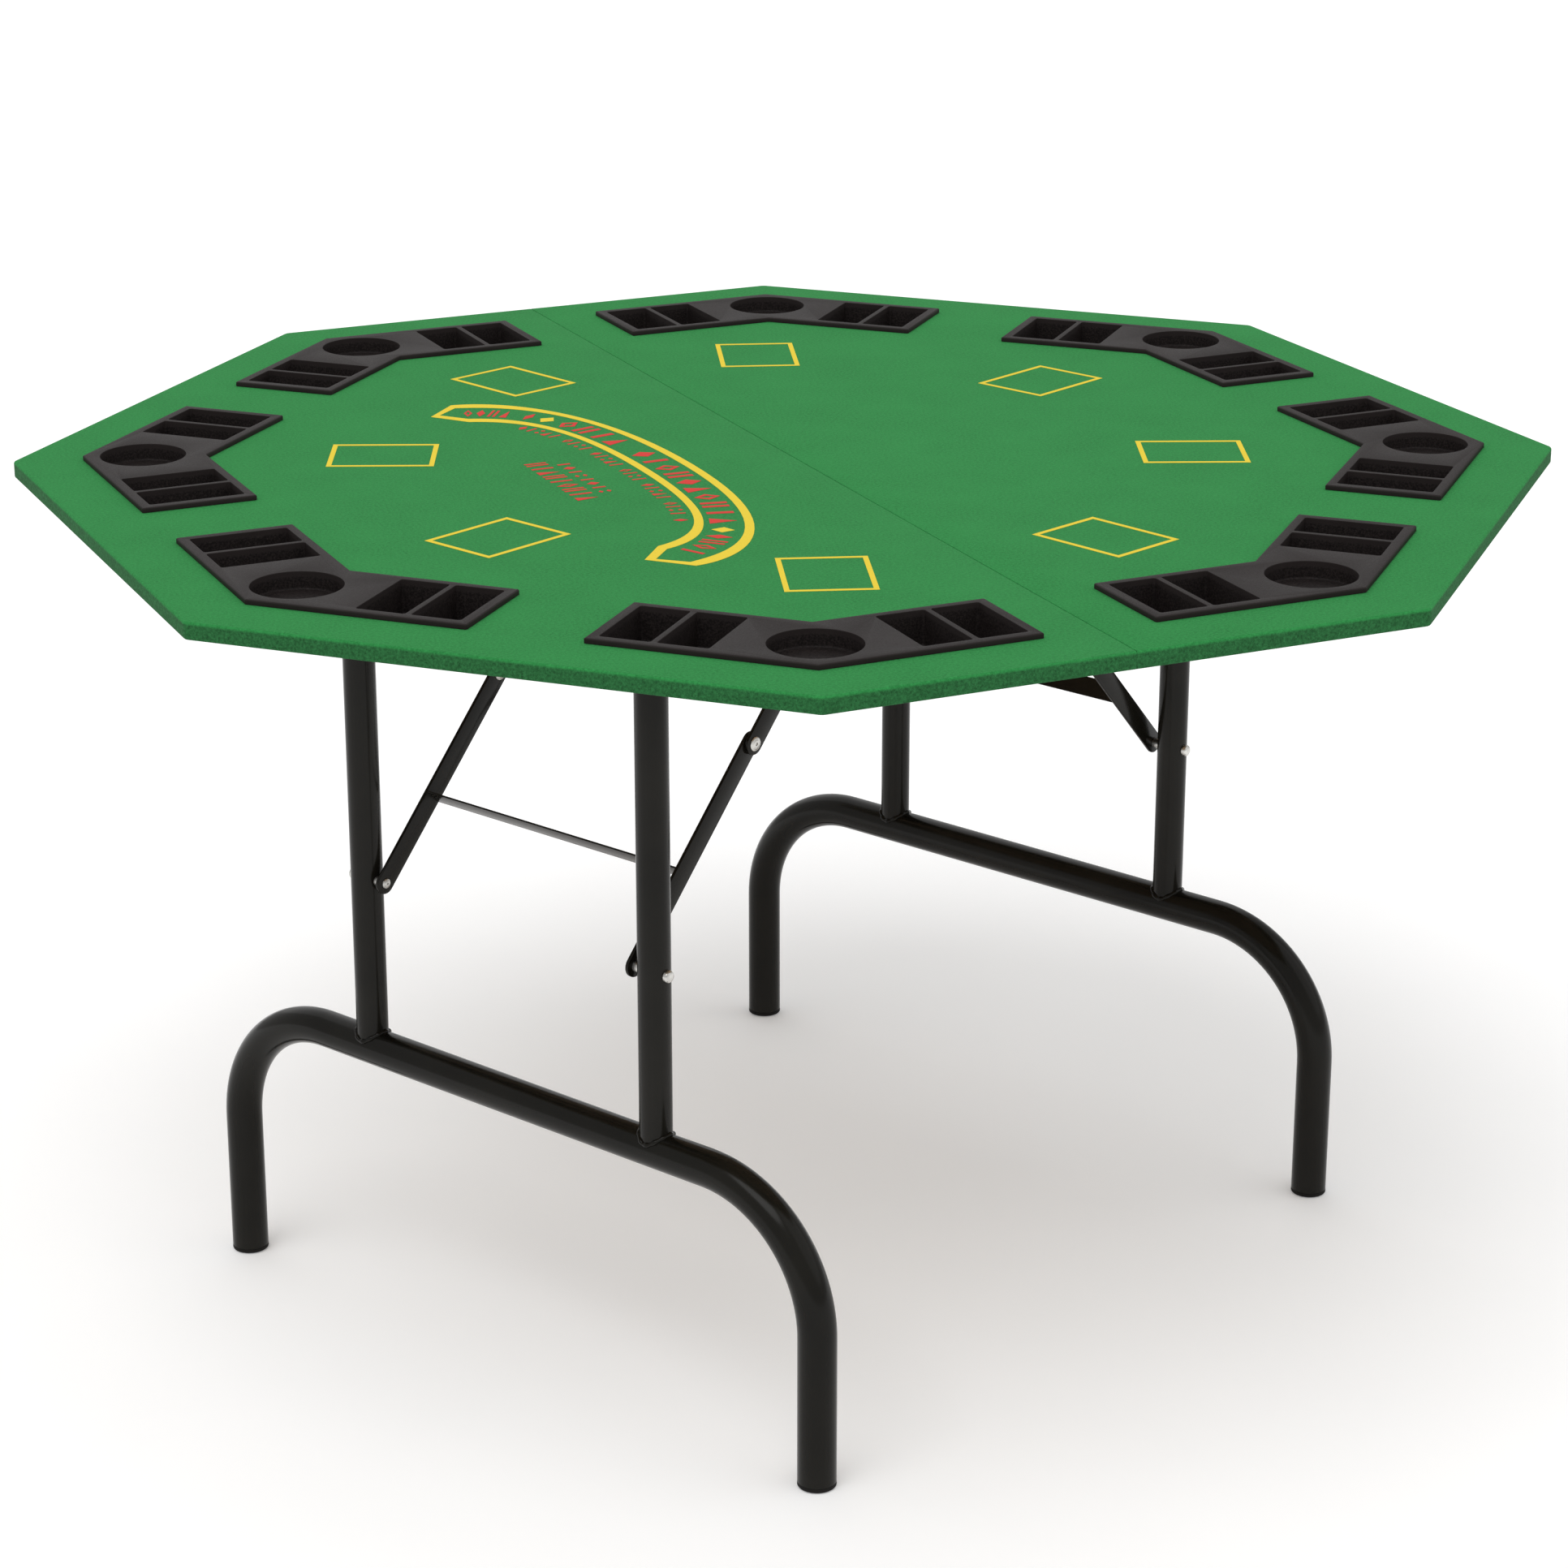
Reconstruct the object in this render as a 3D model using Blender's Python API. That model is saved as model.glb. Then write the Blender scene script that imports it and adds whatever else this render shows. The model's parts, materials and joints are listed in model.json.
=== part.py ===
"""Octagonal card table with a two-part felt top, eight corner trays and two folding steel leg frames.

Frame: origin on the floor under the middle of the top, X across the seam, Y along it, +Z up. Metres.
Each leg frame has its own directions: u points inward under the top, s runs along the frame's pivot tube.
"""

import math

import bmesh
import bpy
from mathutils import Matrix, Vector

# Top
ACROSS_FLATS = 1.220
TABLE_HEIGHT = 0.724
FELT = 0.0010
BOARD = 0.0120
GAP = 0.0003
CORNER_RADIUS = 0.008
CORNER_STEPS = 3
APOTHEM = ACROSS_FLATS / 2
UNDERSIDE = -(FELT + GAP + BOARD)
HALF_CORNER = math.radians(22.5)
OVERCUT = 0.02

# Corner trays, measured from the table's centre along an edge's normal, and from that edge's middle
TRAY_OUTER = 0.5553
TRAY_INNER = 0.4582
TRAY_END = 0.0468
TRAY_LIP = 0.0040
TRAY_EDGE = 0.0015
TRAY_BEVEL = 0.0025
TRAY_WALL = 0.0013
TRAY_SEAT = 0.006
WELL_NEAR = 0.4661
WELL_FAR = 0.5467
WELL_FIRST = 0.0555
WELL_WIDTH = 0.0408
WELL_DIVIDER = 0.0050
WELL_DEPTH = 0.028
WELL_CORNER = 0.004
WELL_CORNER_STEPS = 1
CUP_FROM_CENTRE = 0.5498
CUP_RADIUS = 0.0363
CUP_DEPTH = 0.0145
CUP_SIDES = 20

# Concealed seam hinges and the magnetic catch under the seam
HINGE_PLACES = (-0.33, 0.33)
HINGE_WIDTH = 0.0244
HINGE_DEPTH = 0.0132
SLOT_WIDTH = 0.0130
SLOT_INNER = 0.0097
SLOT_OUTER = 0.0122
LINK_WIDTH = 0.0120
LINK_INNER = 0.0101
LINK_OUTER = 0.0118
LINK_HALF_ANGLE = math.radians(82)
CATCH_LENGTH = 0.050
CATCH_DEPTH = 0.014
CATCH_HEIGHT = 0.008

# Leg frames
FRAME_TURN = math.radians(25.2)
FRAME_FROM_CENTRE = 0.3576
PIVOT_DROP = 0.0195
PIVOT_Z = TABLE_HEIGHT + UNDERSIDE - PIVOT_DROP
PIVOT_TUBE_RADIUS = 0.011
PIVOT_TUBE_HALF = 0.203
BAR_Z = 0.2451
FOOT_HALF_SPAN = 0.333
LEG_TUBE_RADIUS = 0.0160
BEND_RADIUS = 0.114
TUBE_WALL = 0.0015
UPRIGHT_HALF_SPAN = 0.1632
UPRIGHT_RADIUS = 0.0137
FOOT_CAP = 0.004
PLUG_LENGTH = 0.018
TUBE_SIDES = 12
BEND_STEPS = 6

# Folding braces: B is the bolt on the upright, C the knee rivet, D the bracket under the top
BRACE_BOLT_DROP = 0.2916
BRACE_BRACKET_IN = 0.2760
KNEE_SHARE = 0.517
STRIP_SHARE = 0.41
BRACE_ANGLE = math.atan2(BRACE_BOLT_DROP, BRACE_BRACKET_IN)
BRACE_LENGTH = math.hypot(BRACE_BOLT_DROP, BRACE_BRACKET_IN)
LOWER_LENGTH = KNEE_SHARE * BRACE_LENGTH
UPPER_LENGTH = BRACE_LENGTH - LOWER_LENGTH
BRACE_HALF_WIDTH = 0.0095
BRACE_THICKNESS = 0.003
PLATE_GAP = 0.0006
KNEE_HEAD_SPACE = 0.0026
UPPER_FACE = UPRIGHT_HALF_SPAN - UPRIGHT_RADIUS - KNEE_HEAD_SPACE
LOWER_FACE = UPPER_FACE - BRACE_THICKNESS - PLATE_GAP
EAR_FACE = UPPER_FACE + PLATE_GAP + BRACE_THICKNESS
PIN_RADIUS = 0.003
HOLE_RADIUS = 0.0034
HEAD_RADIUS = 0.0058
HEAD_HEIGHT = 0.0025
COLLAR_RADIUS = 0.0052
STRIP_WIDTH = 0.019
STRIP_THICKNESS = 0.0016
PIN_SIDES = 10
LINK_END_STEPS = 6

# Brackets under the top
PLATE = 0.0025
SADDLE_WIDTH = 0.020
SADDLE_CENTRE = 0.190
SADDLE_HALF_LENGTH = 0.034
SADDLE_STEPS = 10
BRACKET_BACK = 0.034
BRACKET_FRONT = 0.008
BRACKET_REACH = 0.026


def clear_scene():
    for obj in list(bpy.data.objects):
        bpy.data.objects.remove(obj, do_unlink=True)


def make_material(name, colour, roughness, metallic):
    material = bpy.data.materials.new(name)
    material.use_nodes = True
    shader = material.node_tree.nodes["Principled BSDF"]
    shader.inputs["Base Color"].default_value = (*colour, 1.0)
    shader.inputs["Roughness"].default_value = roughness
    shader.inputs["Metallic"].default_value = metallic
    return material


def make_axis(name, location, turn=0.0, parent=None):
    """An empty that carries the pieces that turn about it."""
    empty = bpy.data.objects.new(name, None)
    bpy.context.scene.collection.objects.link(empty)
    empty.location = location
    empty.rotation_euler = (0.0, 0.0, turn)
    empty.parent = parent
    return empty


def make_object(name, mesh, material, parent, location=(0.0, 0.0, 0.0)):
    obj = bpy.data.objects.new(name, mesh)
    bpy.context.scene.collection.objects.link(obj)
    obj.location = location
    obj.parent = parent
    if material is not None and not mesh.materials:
        mesh.materials.append(material)
    return obj


def mesh_of(name, form):
    bmesh.ops.recalc_face_normals(form, faces=form.faces)
    mesh = bpy.data.meshes.new(name)
    form.to_mesh(mesh)
    form.free()
    return mesh


def smooth(mesh, degrees=35):
    mesh.shade_smooth()
    mesh.set_sharp_from_angle(angle=math.radians(degrees))
    return mesh


def add_extrusion(form, points, vector):
    """Adds one closed solid: the flat outline, carried along the vector."""
    base = [form.verts.new(point) for point in points]
    face = form.faces.new(base)
    made = bmesh.ops.extrude_face_region(form, geom=[face])["geom"]
    moved = [item for item in made if isinstance(item, bmesh.types.BMVert)]
    bmesh.ops.translate(form, verts=moved, vec=vector)


def add_prism(form, outline, low, high):
    add_extrusion(form, [(x, y, low) for x, y in outline], (0.0, 0.0, high - low))


def prism(name, outline, low, high):
    form = bmesh.new()
    add_prism(form, outline, low, high)
    return mesh_of(name, form)


def join_rings(form, rings):
    """Closes a loop of rings that all have the same number of points."""
    for first, second in zip(rings, rings[1:] + rings[:1]):
        count = len(first)
        for i in range(count):
            j = (i + 1) % count
            form.faces.new((first[i], first[j], second[j], second[i]))


def arc(centre, radius, start, end, steps):
    turn = (end - start) / steps
    return [
        (centre[0] + radius * math.cos(start + turn * i), centre[1] + radius * math.sin(start + turn * i))
        for i in range(steps + 1)
    ]


def turned(profile, sides):
    """A solid of revolution about the s axis, from (s, radius) pairs whose ends are closed flat."""
    form = bmesh.new()
    rings = []
    for along, radius in profile:
        ring = [
            form.verts.new((radius * math.cos(a), along, radius * math.sin(a)))
            for a in (2 * math.pi * (i + 0.5) / sides for i in range(sides))
        ]
        rings.append(ring)
    for first, second in zip(rings, rings[1:]):
        for i in range(sides):
            j = (i + 1) % sides
            form.faces.new((first[i], first[j], second[j], second[i]))
    form.faces.new(rings[0])
    form.faces.new(list(reversed(rings[-1])))
    return form


def swept_tube(name, path, radius, wall, sides):
    """An open-ended tube along a path that lies in the plane u = 0."""
    form = bmesh.new()
    outer = []
    inner = []
    for i, point in enumerate(path):
        ahead = path[min(i + 1, len(path) - 1)]
        behind = path[max(i - 1, 0)]
        along = (ahead - behind).normalized()
        side = Vector((1.0, 0.0, 0.0))
        up = along.cross(side)
        for rings, size in ((outer, radius), (inner, radius - wall)):
            ring = []
            for k in range(sides):
                angle = 2 * math.pi * (k + 0.5) / sides
                ring.append(form.verts.new(point + size * (math.cos(angle) * side + math.sin(angle) * up)))
            rings.append(ring)
    join_rings(form, outer + inner[::-1])
    return smooth(mesh_of(name, form))


def hidden_cutter(name, mesh, parent, location=(0.0, 0.0, 0.0)):
    obj = make_object(name, mesh, None, parent, location)
    obj.hide_render = True
    obj.display_type = "WIRE"
    return obj


def add_boolean(obj, other, operation="DIFFERENCE"):
    modifier = obj.modifiers.new(operation.title(), "BOOLEAN")
    modifier.operation = operation
    modifier.solver = "EXACT"
    modifier.object = other


def evaluated_mesh(obj, name):
    """The mesh with its modifiers applied, so that copies can share it."""
    bpy.context.view_layer.update()
    graph = bpy.context.evaluated_depsgraph_get()
    mesh = bpy.data.meshes.new_from_object(obj.evaluated_get(graph))
    mesh.name = name
    return mesh


# ---------------------------------------------------------------- top


def half_octagon(apothem, side, seam_gap):
    """Half of a regular octagon with rounded outer corners, on one side of the seam."""
    corner = apothem * math.tan(HALF_CORNER)
    sharp = [(corner, -apothem), (apothem, -corner), (apothem, corner), (corner, apothem)]
    setback = CORNER_RADIUS * math.tan(HALF_CORNER)
    points = [(seam_gap, -apothem)]
    for index, (x, y) in enumerate(sharp):
        heading = math.radians(45 * index)
        centre = (
            x - setback * math.cos(heading) - CORNER_RADIUS * math.sin(heading),
            y - setback * math.sin(heading) + CORNER_RADIUS * math.cos(heading),
        )
        start = heading - math.pi / 2
        points += arc(centre, CORNER_RADIUS, start, start + math.pi / 4, CORNER_STEPS)
    points.append((seam_gap, apothem))
    return [(side * x, y) for x, y in points]


def tray_point(arm, from_centre, from_middle):
    """A point of a tray that points along +X; the arm is +1 or -1, from_middle is measured along its edge."""
    x = from_centre * math.cos(HALF_CORNER) + from_middle * math.sin(HALF_CORNER)
    y = from_centre * math.sin(HALF_CORNER) - from_middle * math.cos(HALF_CORNER)
    return (x, arm * y)


def tray_outline(inset):
    outer = TRAY_OUTER - inset
    inner = TRAY_INNER + inset
    end = TRAY_END + inset
    return [
        tray_point(1, outer, outer * math.tan(HALF_CORNER)),
        tray_point(1, outer, end),
        tray_point(1, inner, end),
        tray_point(1, inner, inner * math.tan(HALF_CORNER)),
        tray_point(-1, inner, end),
        tray_point(-1, outer, end),
    ]


def well_outline(arm, first, extra):
    """One chip well seen from above, with rounded corners; extra is the wall outside it."""
    radius = WELL_CORNER + extra
    near, far = WELL_NEAR - extra + radius, WELL_FAR + extra - radius
    low, high = first - extra + radius, first + WELL_WIDTH + extra - radius
    points = []
    for index, centre in enumerate(((far, high), (near, high), (near, low), (far, low))):
        start = math.pi / 2 * index
        points += arc(centre, radius, start, start + math.pi / 2, WELL_CORNER_STEPS)
    return [tray_point(arm, from_centre, from_middle) for from_centre, from_middle in points]


def tray_hollows(name, extra, top, top_of_tray):
    form = bmesh.new()
    for arm in (1, -1):
        for number in range(2):
            first = WELL_FIRST + number * (WELL_WIDTH + WELL_DIVIDER)
            add_prism(form, well_outline(arm, first, extra), top_of_tray - WELL_DEPTH - extra, top)
    cup = arc((CUP_FROM_CENTRE, 0.0), CUP_RADIUS + extra, 0.0, 2 * math.pi, CUP_SIDES)[:-1]
    add_prism(form, cup, top_of_tray - CUP_DEPTH - extra, top)
    return mesh_of(name, form)


def tray_mesh(axis, material):
    """One moulded tray: a bevelled lip that lies on the felt, four chip wells and a cup recess."""
    low = GAP
    high = GAP + TRAY_LIP
    form = bmesh.new()
    rings = []
    for height, inset in ((low, 0.0), (low + TRAY_EDGE, 0.0), (high, TRAY_BEVEL)):
        rings.append([form.verts.new((x, y, height)) for x, y in tray_outline(inset)])
    form.faces.new(rings[0])
    form.faces.new(list(reversed(rings[-1])))
    for first, second in zip(rings, rings[1:]):
        for i in range(len(first)):
            j = (i + 1) % len(first)
            form.faces.new((first[i], first[j], second[j], second[i]))
    shell = make_object("tray_form", mesh_of("tray_form", form), material, axis)
    tubs = hidden_cutter("tray_tubs", tray_hollows("tray_tubs", TRAY_WALL, low + TRAY_EDGE, high), axis)
    hollows = hidden_cutter("tray_hollows", tray_hollows("tray_hollows", 0.0, high + OVERCUT, high), axis)
    add_boolean(shell, tubs, "UNION")
    add_boolean(shell, hollows)
    mesh = evaluated_mesh(shell, "tray")
    for obj in (shell, tubs, hollows):
        bpy.data.objects.remove(obj, do_unlink=True)
    return smooth(mesh)


def rotated(points, angle):
    cos, sin = math.cos(angle), math.sin(angle)
    return [(cos * x - sin * y, sin * x + cos * y) for x, y in points]


def tray_angles(side):
    """The four corner directions on one side of the seam."""
    angles = [HALF_CORNER + math.radians(45) * i for i in range(8)]
    return [(i, angle) for i, angle in enumerate(angles) if side * math.cos(angle) > 0]


def half_ring(name, side, width, inner, outer):
    """A bar bent to a half circle about the seam axis, cut to one side of the seam."""
    start, end = (-math.pi / 2, 0.0) if side > 0 else (-math.pi, -math.pi / 2)
    steps = 10
    lead = side * OVERCUT / 4
    outline = arc((0.0, 0.0), outer, start, end, steps)
    outline += arc((0.0, 0.0), inner, end, start, steps)
    if side > 0:
        outline = [(-lead, -outer)] + outline + [(-lead, -inner)]
    else:
        middle = steps + 1
        outline = outline[:middle] + [(-lead, -outer), (-lead, -inner)] + outline[middle:]
    form = bmesh.new()
    add_extrusion(form, [(x, -width / 2, z) for x, z in outline], (0.0, width, 0.0))
    return mesh_of(name, form)


def build_half(side, name, axis, materials, tray):
    """One half of the top: board, felt, four trays, hinge bodies and its part of the catch."""
    openings = bmesh.new()
    for _, angle in tray_angles(side):
        add_prism(openings, rotated(tray_outline(TRAY_SEAT), angle), UNDERSIDE - OVERCUT, OVERCUT)
    opening_cutter = hidden_cutter(f"openings_{name}", mesh_of("openings", openings), axis)

    mortises = bmesh.new()
    edge = side * (HINGE_DEPTH + 2 * GAP)
    for y in HINGE_PLACES:
        half = HINGE_WIDTH / 2 + GAP
        box = [(-edge, y - half), (edge, y - half), (edge, y + half), (-edge, y + half)]
        add_prism(mortises, box, UNDERSIDE - OVERCUT, -FELT)
    mortise_cutter = hidden_cutter(f"mortises_{name}", mesh_of("mortises", mortises), axis)

    board_outline = half_octagon(APOTHEM - FELT - GAP, side, GAP)
    board_mesh = prism(f"board_{name}", board_outline, UNDERSIDE, UNDERSIDE + BOARD)
    board = make_object(f"board_{name}", board_mesh, materials["board"], axis)
    add_boolean(board, opening_cutter)
    add_boolean(board, mortise_cutter)

    felt_mesh = prism(f"felt_{name}", half_octagon(APOTHEM, side, GAP), UNDERSIDE, 0.0)
    felt = make_object(f"felt_{name}", felt_mesh, materials["felt"], axis)
    inside = prism("felt_inside", half_octagon(APOTHEM - FELT, side, -OVERCUT), UNDERSIDE - OVERCUT, -FELT)
    add_boolean(felt, hidden_cutter(f"felt_inside_{name}", inside, axis))
    add_boolean(felt, opening_cutter)

    for index, angle in tray_angles(side):
        corner = make_object(f"tray_{index + 1}", tray, materials["tray"], axis)
        corner.rotation_euler = (0.0, 0.0, angle)

    for y, letter in zip(HINGE_PLACES, "ab"):
        block = [(side * GAP, -HINGE_WIDTH / 2), (side * (GAP + HINGE_DEPTH), -HINGE_WIDTH / 2)]
        block += [(x, -y_edge) for x, y_edge in reversed(block)]
        body_mesh = prism("hinge_body", block, UNDERSIDE, UNDERSIDE + BOARD)
        title = f"seam_hinge_{name}_{letter}"
        body = make_object(title, body_mesh, materials["hinge"], axis, (0.0, y, 0.0))
        slot = half_ring("hinge_slot", side, SLOT_WIDTH, SLOT_INNER, SLOT_OUTER)
        add_boolean(body, hidden_cutter(f"slot_{name}_{letter}", slot, axis, (0.0, y, 0.0)))

    catch = [(side * GAP, -CATCH_LENGTH / 2), (side * CATCH_DEPTH, -CATCH_LENGTH / 2)]
    catch += [(x, -y_edge) for x, y_edge in reversed(catch)]
    title = "catch_magnet" if side < 0 else "catch_plate"
    catch_mesh = prism(title, catch, UNDERSIDE - GAP - CATCH_HEIGHT, UNDERSIDE - GAP)
    make_object(title, catch_mesh, materials["tray" if side < 0 else "zinc"], axis)


def build_hinge_links(axis, material):
    """The curved arms that join the two bodies of each concealed hinge; they turn half as far as the top."""
    start = -math.pi / 2 - LINK_HALF_ANGLE
    end = -math.pi / 2 + LINK_HALF_ANGLE
    steps = 16
    outline = arc((0.0, 0.0), LINK_OUTER, start, end, steps) + arc((0.0, 0.0), LINK_INNER, end, start, steps)
    for y, letter in zip(HINGE_PLACES, "ab"):
        form = bmesh.new()
        add_extrusion(form, [(x, -LINK_WIDTH / 2, z) for x, z in outline], (0.0, LINK_WIDTH, 0.0))
        title = f"seam_hinge_link_{letter}"
        make_object(title, smooth(mesh_of(title, form)), material, axis, (0.0, y, 0.0))


# ---------------------------------------------------------------- leg frames


def leg_tube_path():
    """From one foot up, round a bend, along the bar, round the other bend and down, about the pivot."""
    bar = BAR_Z - PIVOT_Z
    foot = FOOT_CAP + GAP - PIVOT_Z
    straight = FOOT_HALF_SPAN - BEND_RADIUS
    half = arc((straight, bar - BEND_RADIUS), BEND_RADIUS, 0.0, math.pi / 2, BEND_STEPS)
    near = [(FOOT_HALF_SPAN, foot)] + half
    far = [(-s, z) for s, z in reversed(near)]
    return [Vector((0.0, s, z)) for s, z in near + far]


def cylinder_along_s(name, radius, half_length, sides):
    return smooth(mesh_of(name, turned([(-half_length, radius), (half_length, radius)], sides)))


def ring_tube(name, radius, wall, low, high, sides, vertical):
    """A straight open tube, either along z or along s."""
    form = bmesh.new()
    rings = []
    for along, size in ((low, radius), (high, radius), (high, radius - wall), (low, radius - wall)):
        ring = []
        for k in range(sides):
            angle = 2 * math.pi * (k + 0.5) / sides
            a, b = size * math.cos(angle), size * math.sin(angle)
            ring.append(form.verts.new((a, b, along) if vertical else (a, along, b)))
        rings.append(ring)
    join_rings(form, rings)
    return smooth(mesh_of(name, form))


def build_leg(number, axis, materials):
    steel = materials["steel"]
    name = f"leg_tube_{number}"
    make_object(name, swept_tube(name, leg_tube_path(), LEG_TUBE_RADIUS, TUBE_WALL, TUBE_SIDES), steel, axis)

    name = f"pivot_tube_{number}"
    half = PIVOT_TUBE_HALF
    pivot = ring_tube(name, PIVOT_TUBE_RADIUS, TUBE_WALL, -half, half, TUBE_SIDES, False)
    make_object(name, pivot, steel, axis)

    bar = BAR_Z - PIVOT_Z
    bar_cut = cylinder_along_s("bar_cut", LEG_TUBE_RADIUS + GAP, FOOT_HALF_SPAN, 2 * TUBE_SIDES)
    bar_cutter = hidden_cutter(f"bar_cut_{number}", bar_cut, axis, (0.0, 0.0, bar))
    pivot_cut = cylinder_along_s("pivot_cut", PIVOT_TUBE_RADIUS + GAP, FOOT_HALF_SPAN, 2 * TUBE_SIDES)
    pivot_cutter = hidden_cutter(f"pivot_cut_{number}", pivot_cut, axis)
    bolt_cut = cylinder_along_s("bolt_cut", HOLE_RADIUS, FOOT_HALF_SPAN, PIN_SIDES)
    bolt_cutter = hidden_cutter(f"bolt_cut_{number}", bolt_cut, axis, (0.0, 0.0, -BRACE_BOLT_DROP))
    for side, letter in ((-1, "a"), (1, "b")):
        name = f"upright_{number}_{letter}"
        top = -PIVOT_TUBE_RADIUS / 2
        tube = ring_tube(name, UPRIGHT_RADIUS, TUBE_WALL, bar + GAP, top, TUBE_SIDES, True)
        upright = make_object(name, tube, steel, axis, (0.0, side * UPRIGHT_HALF_SPAN, 0.0))
        for cutter in (bar_cutter, pivot_cutter, bolt_cutter):
            add_boolean(upright, cutter)
        build_foot_cap(f"foot_cap_{number}_{letter}", side, axis, materials["cap"])
        build_brace_bolt(f"brace_bolt_{number}_{letter}", side, axis, materials["zinc"])


def build_foot_cap(name, side, axis, material):
    """A moulded plug: a disc under the tube's end and a shank inside it."""
    floor = -PIVOT_Z
    shank = LEG_TUBE_RADIUS - TUBE_WALL - GAP
    edge = 0.0012
    profile = [
        (floor, LEG_TUBE_RADIUS - edge),
        (floor + edge, LEG_TUBE_RADIUS),
        (floor + FOOT_CAP, LEG_TUBE_RADIUS),
        (floor + FOOT_CAP, shank),
        (floor + PLUG_LENGTH, shank - edge),
    ]
    form = turned(profile, TUBE_SIDES)
    bmesh.ops.transform(form, matrix=Matrix.Rotation(math.pi / 2, 4, "X"), verts=form.verts)
    make_object(name, smooth(mesh_of(name, form)), material, axis, (0.0, side * FOOT_HALF_SPAN, 0.0))


def mirrored_profile(profile, side):
    """The profile is written from the outside of the frame inward, as distances from its middle."""
    return [(side * along, radius) for along, radius in profile]


def build_brace_bolt(name, side, axis, material):
    """Head outside the upright, shank through it, a spacer collar, then the lower brace link and its nut."""
    outside = UPRIGHT_HALF_SPAN + UPRIGHT_RADIUS + GAP
    inside = UPRIGHT_HALF_SPAN - UPRIGHT_RADIUS - GAP
    link_out = LOWER_FACE + GAP
    link_in = LOWER_FACE - BRACE_THICKNESS - GAP
    edge = 0.001
    profile = [
        (outside + HEAD_HEIGHT + edge, HEAD_RADIUS - edge),
        (outside + HEAD_HEIGHT, HEAD_RADIUS),
        (outside, HEAD_RADIUS),
        (outside, PIN_RADIUS),
        (inside, PIN_RADIUS),
        (inside, COLLAR_RADIUS),
        (link_out, COLLAR_RADIUS),
        (link_out, PIN_RADIUS),
        (link_in, PIN_RADIUS),
        (link_in, HEAD_RADIUS),
        (link_in - HEAD_HEIGHT, HEAD_RADIUS - edge),
    ]
    mesh = mesh_of(name, turned(mirrored_profile(profile, side), PIN_SIDES))
    make_object(name, smooth(mesh), material, axis, (0.0, 0.0, -BRACE_BOLT_DROP))


def link_outline(length, angle):
    """A flat bar with round ends, from its pivot at the origin along the angle in the u-z plane."""
    far = (length * math.cos(angle), length * math.sin(angle))
    half_turn = math.pi
    points = arc(far, BRACE_HALF_WIDTH, angle - half_turn / 2, angle + half_turn / 2, LINK_END_STEPS)
    start = angle + half_turn / 2
    return points + arc((0.0, 0.0), BRACE_HALF_WIDTH, start, start + half_turn, LINK_END_STEPS)


def build_link(name, side, face, length, angle, axis, material, has_knee_hole):
    """One flat brace link. Its outer face is at face from the middle of the frame."""
    form = bmesh.new()
    points = [(u, side * face, z) for u, z in link_outline(length, angle)]
    add_extrusion(form, points, (0.0, -side * BRACE_THICKNESS, 0.0))
    link = make_object(name, mesh_of(name, form), material, axis)
    hole = cylinder_along_s("hole", HOLE_RADIUS, UPRIGHT_HALF_SPAN + OVERCUT, PIN_SIDES)
    add_boolean(link, hidden_cutter(f"{name}_pivot", hole, axis))
    if has_knee_hole:
        knee = (length * math.cos(angle), 0.0, length * math.sin(angle))
        add_boolean(link, hidden_cutter(f"{name}_knee", hole, axis, knee))


def build_braces(number, lower_axis, upper_axis, materials):
    knee_u = LOWER_LENGTH * math.cos(BRACE_ANGLE)
    knee_z = LOWER_LENGTH * math.sin(BRACE_ANGLE)
    for side, letter in ((-1, "a"), (1, "b")):
        title = f"lower_link_{number}_{letter}"
        build_link(title, side, LOWER_FACE, LOWER_LENGTH, BRACE_ANGLE, lower_axis, materials["steel"], True)
        title = f"upper_link_{number}_{letter}"
        back = BRACE_ANGLE + math.pi
        build_link(title, side, UPPER_FACE, UPPER_LENGTH, back, upper_axis, materials["steel"], False)

        inner = LOWER_FACE - BRACE_THICKNESS - GAP
        profile = [
            (LOWER_FACE + GAP, PIN_RADIUS),
            (inner, PIN_RADIUS),
            (inner, HEAD_RADIUS),
            (inner - HEAD_HEIGHT, HEAD_RADIUS / 2),
        ]
        title = f"knee_rivet_{number}_{letter}"
        mesh = mesh_of(title, turned(mirrored_profile(profile, side), PIN_SIDES))
        make_object(title, smooth(mesh), materials["zinc"], lower_axis, (knee_u, 0.0, knee_z))

    along = Vector((math.cos(BRACE_ANGLE), 0.0, math.sin(BRACE_ANGLE)))
    across = Vector((-along.z, 0.0, along.x))
    centre = along * (STRIP_SHARE * LOWER_LENGTH)
    half = LOWER_FACE - BRACE_THICKNESS - GAP
    corners = [(-1, -1), (1, -1), (1, 1), (-1, 1)]
    points = [centre + a * along * STRIP_THICKNESS / 2 + b * across * STRIP_WIDTH / 2 for a, b in corners]
    form = bmesh.new()
    add_extrusion(form, [point - Vector((0.0, half, 0.0)) for point in points], (0.0, 2 * half, 0.0))
    title = f"brace_strip_{number}"
    make_object(title, mesh_of(title, form), materials["steel"], lower_axis)


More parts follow.
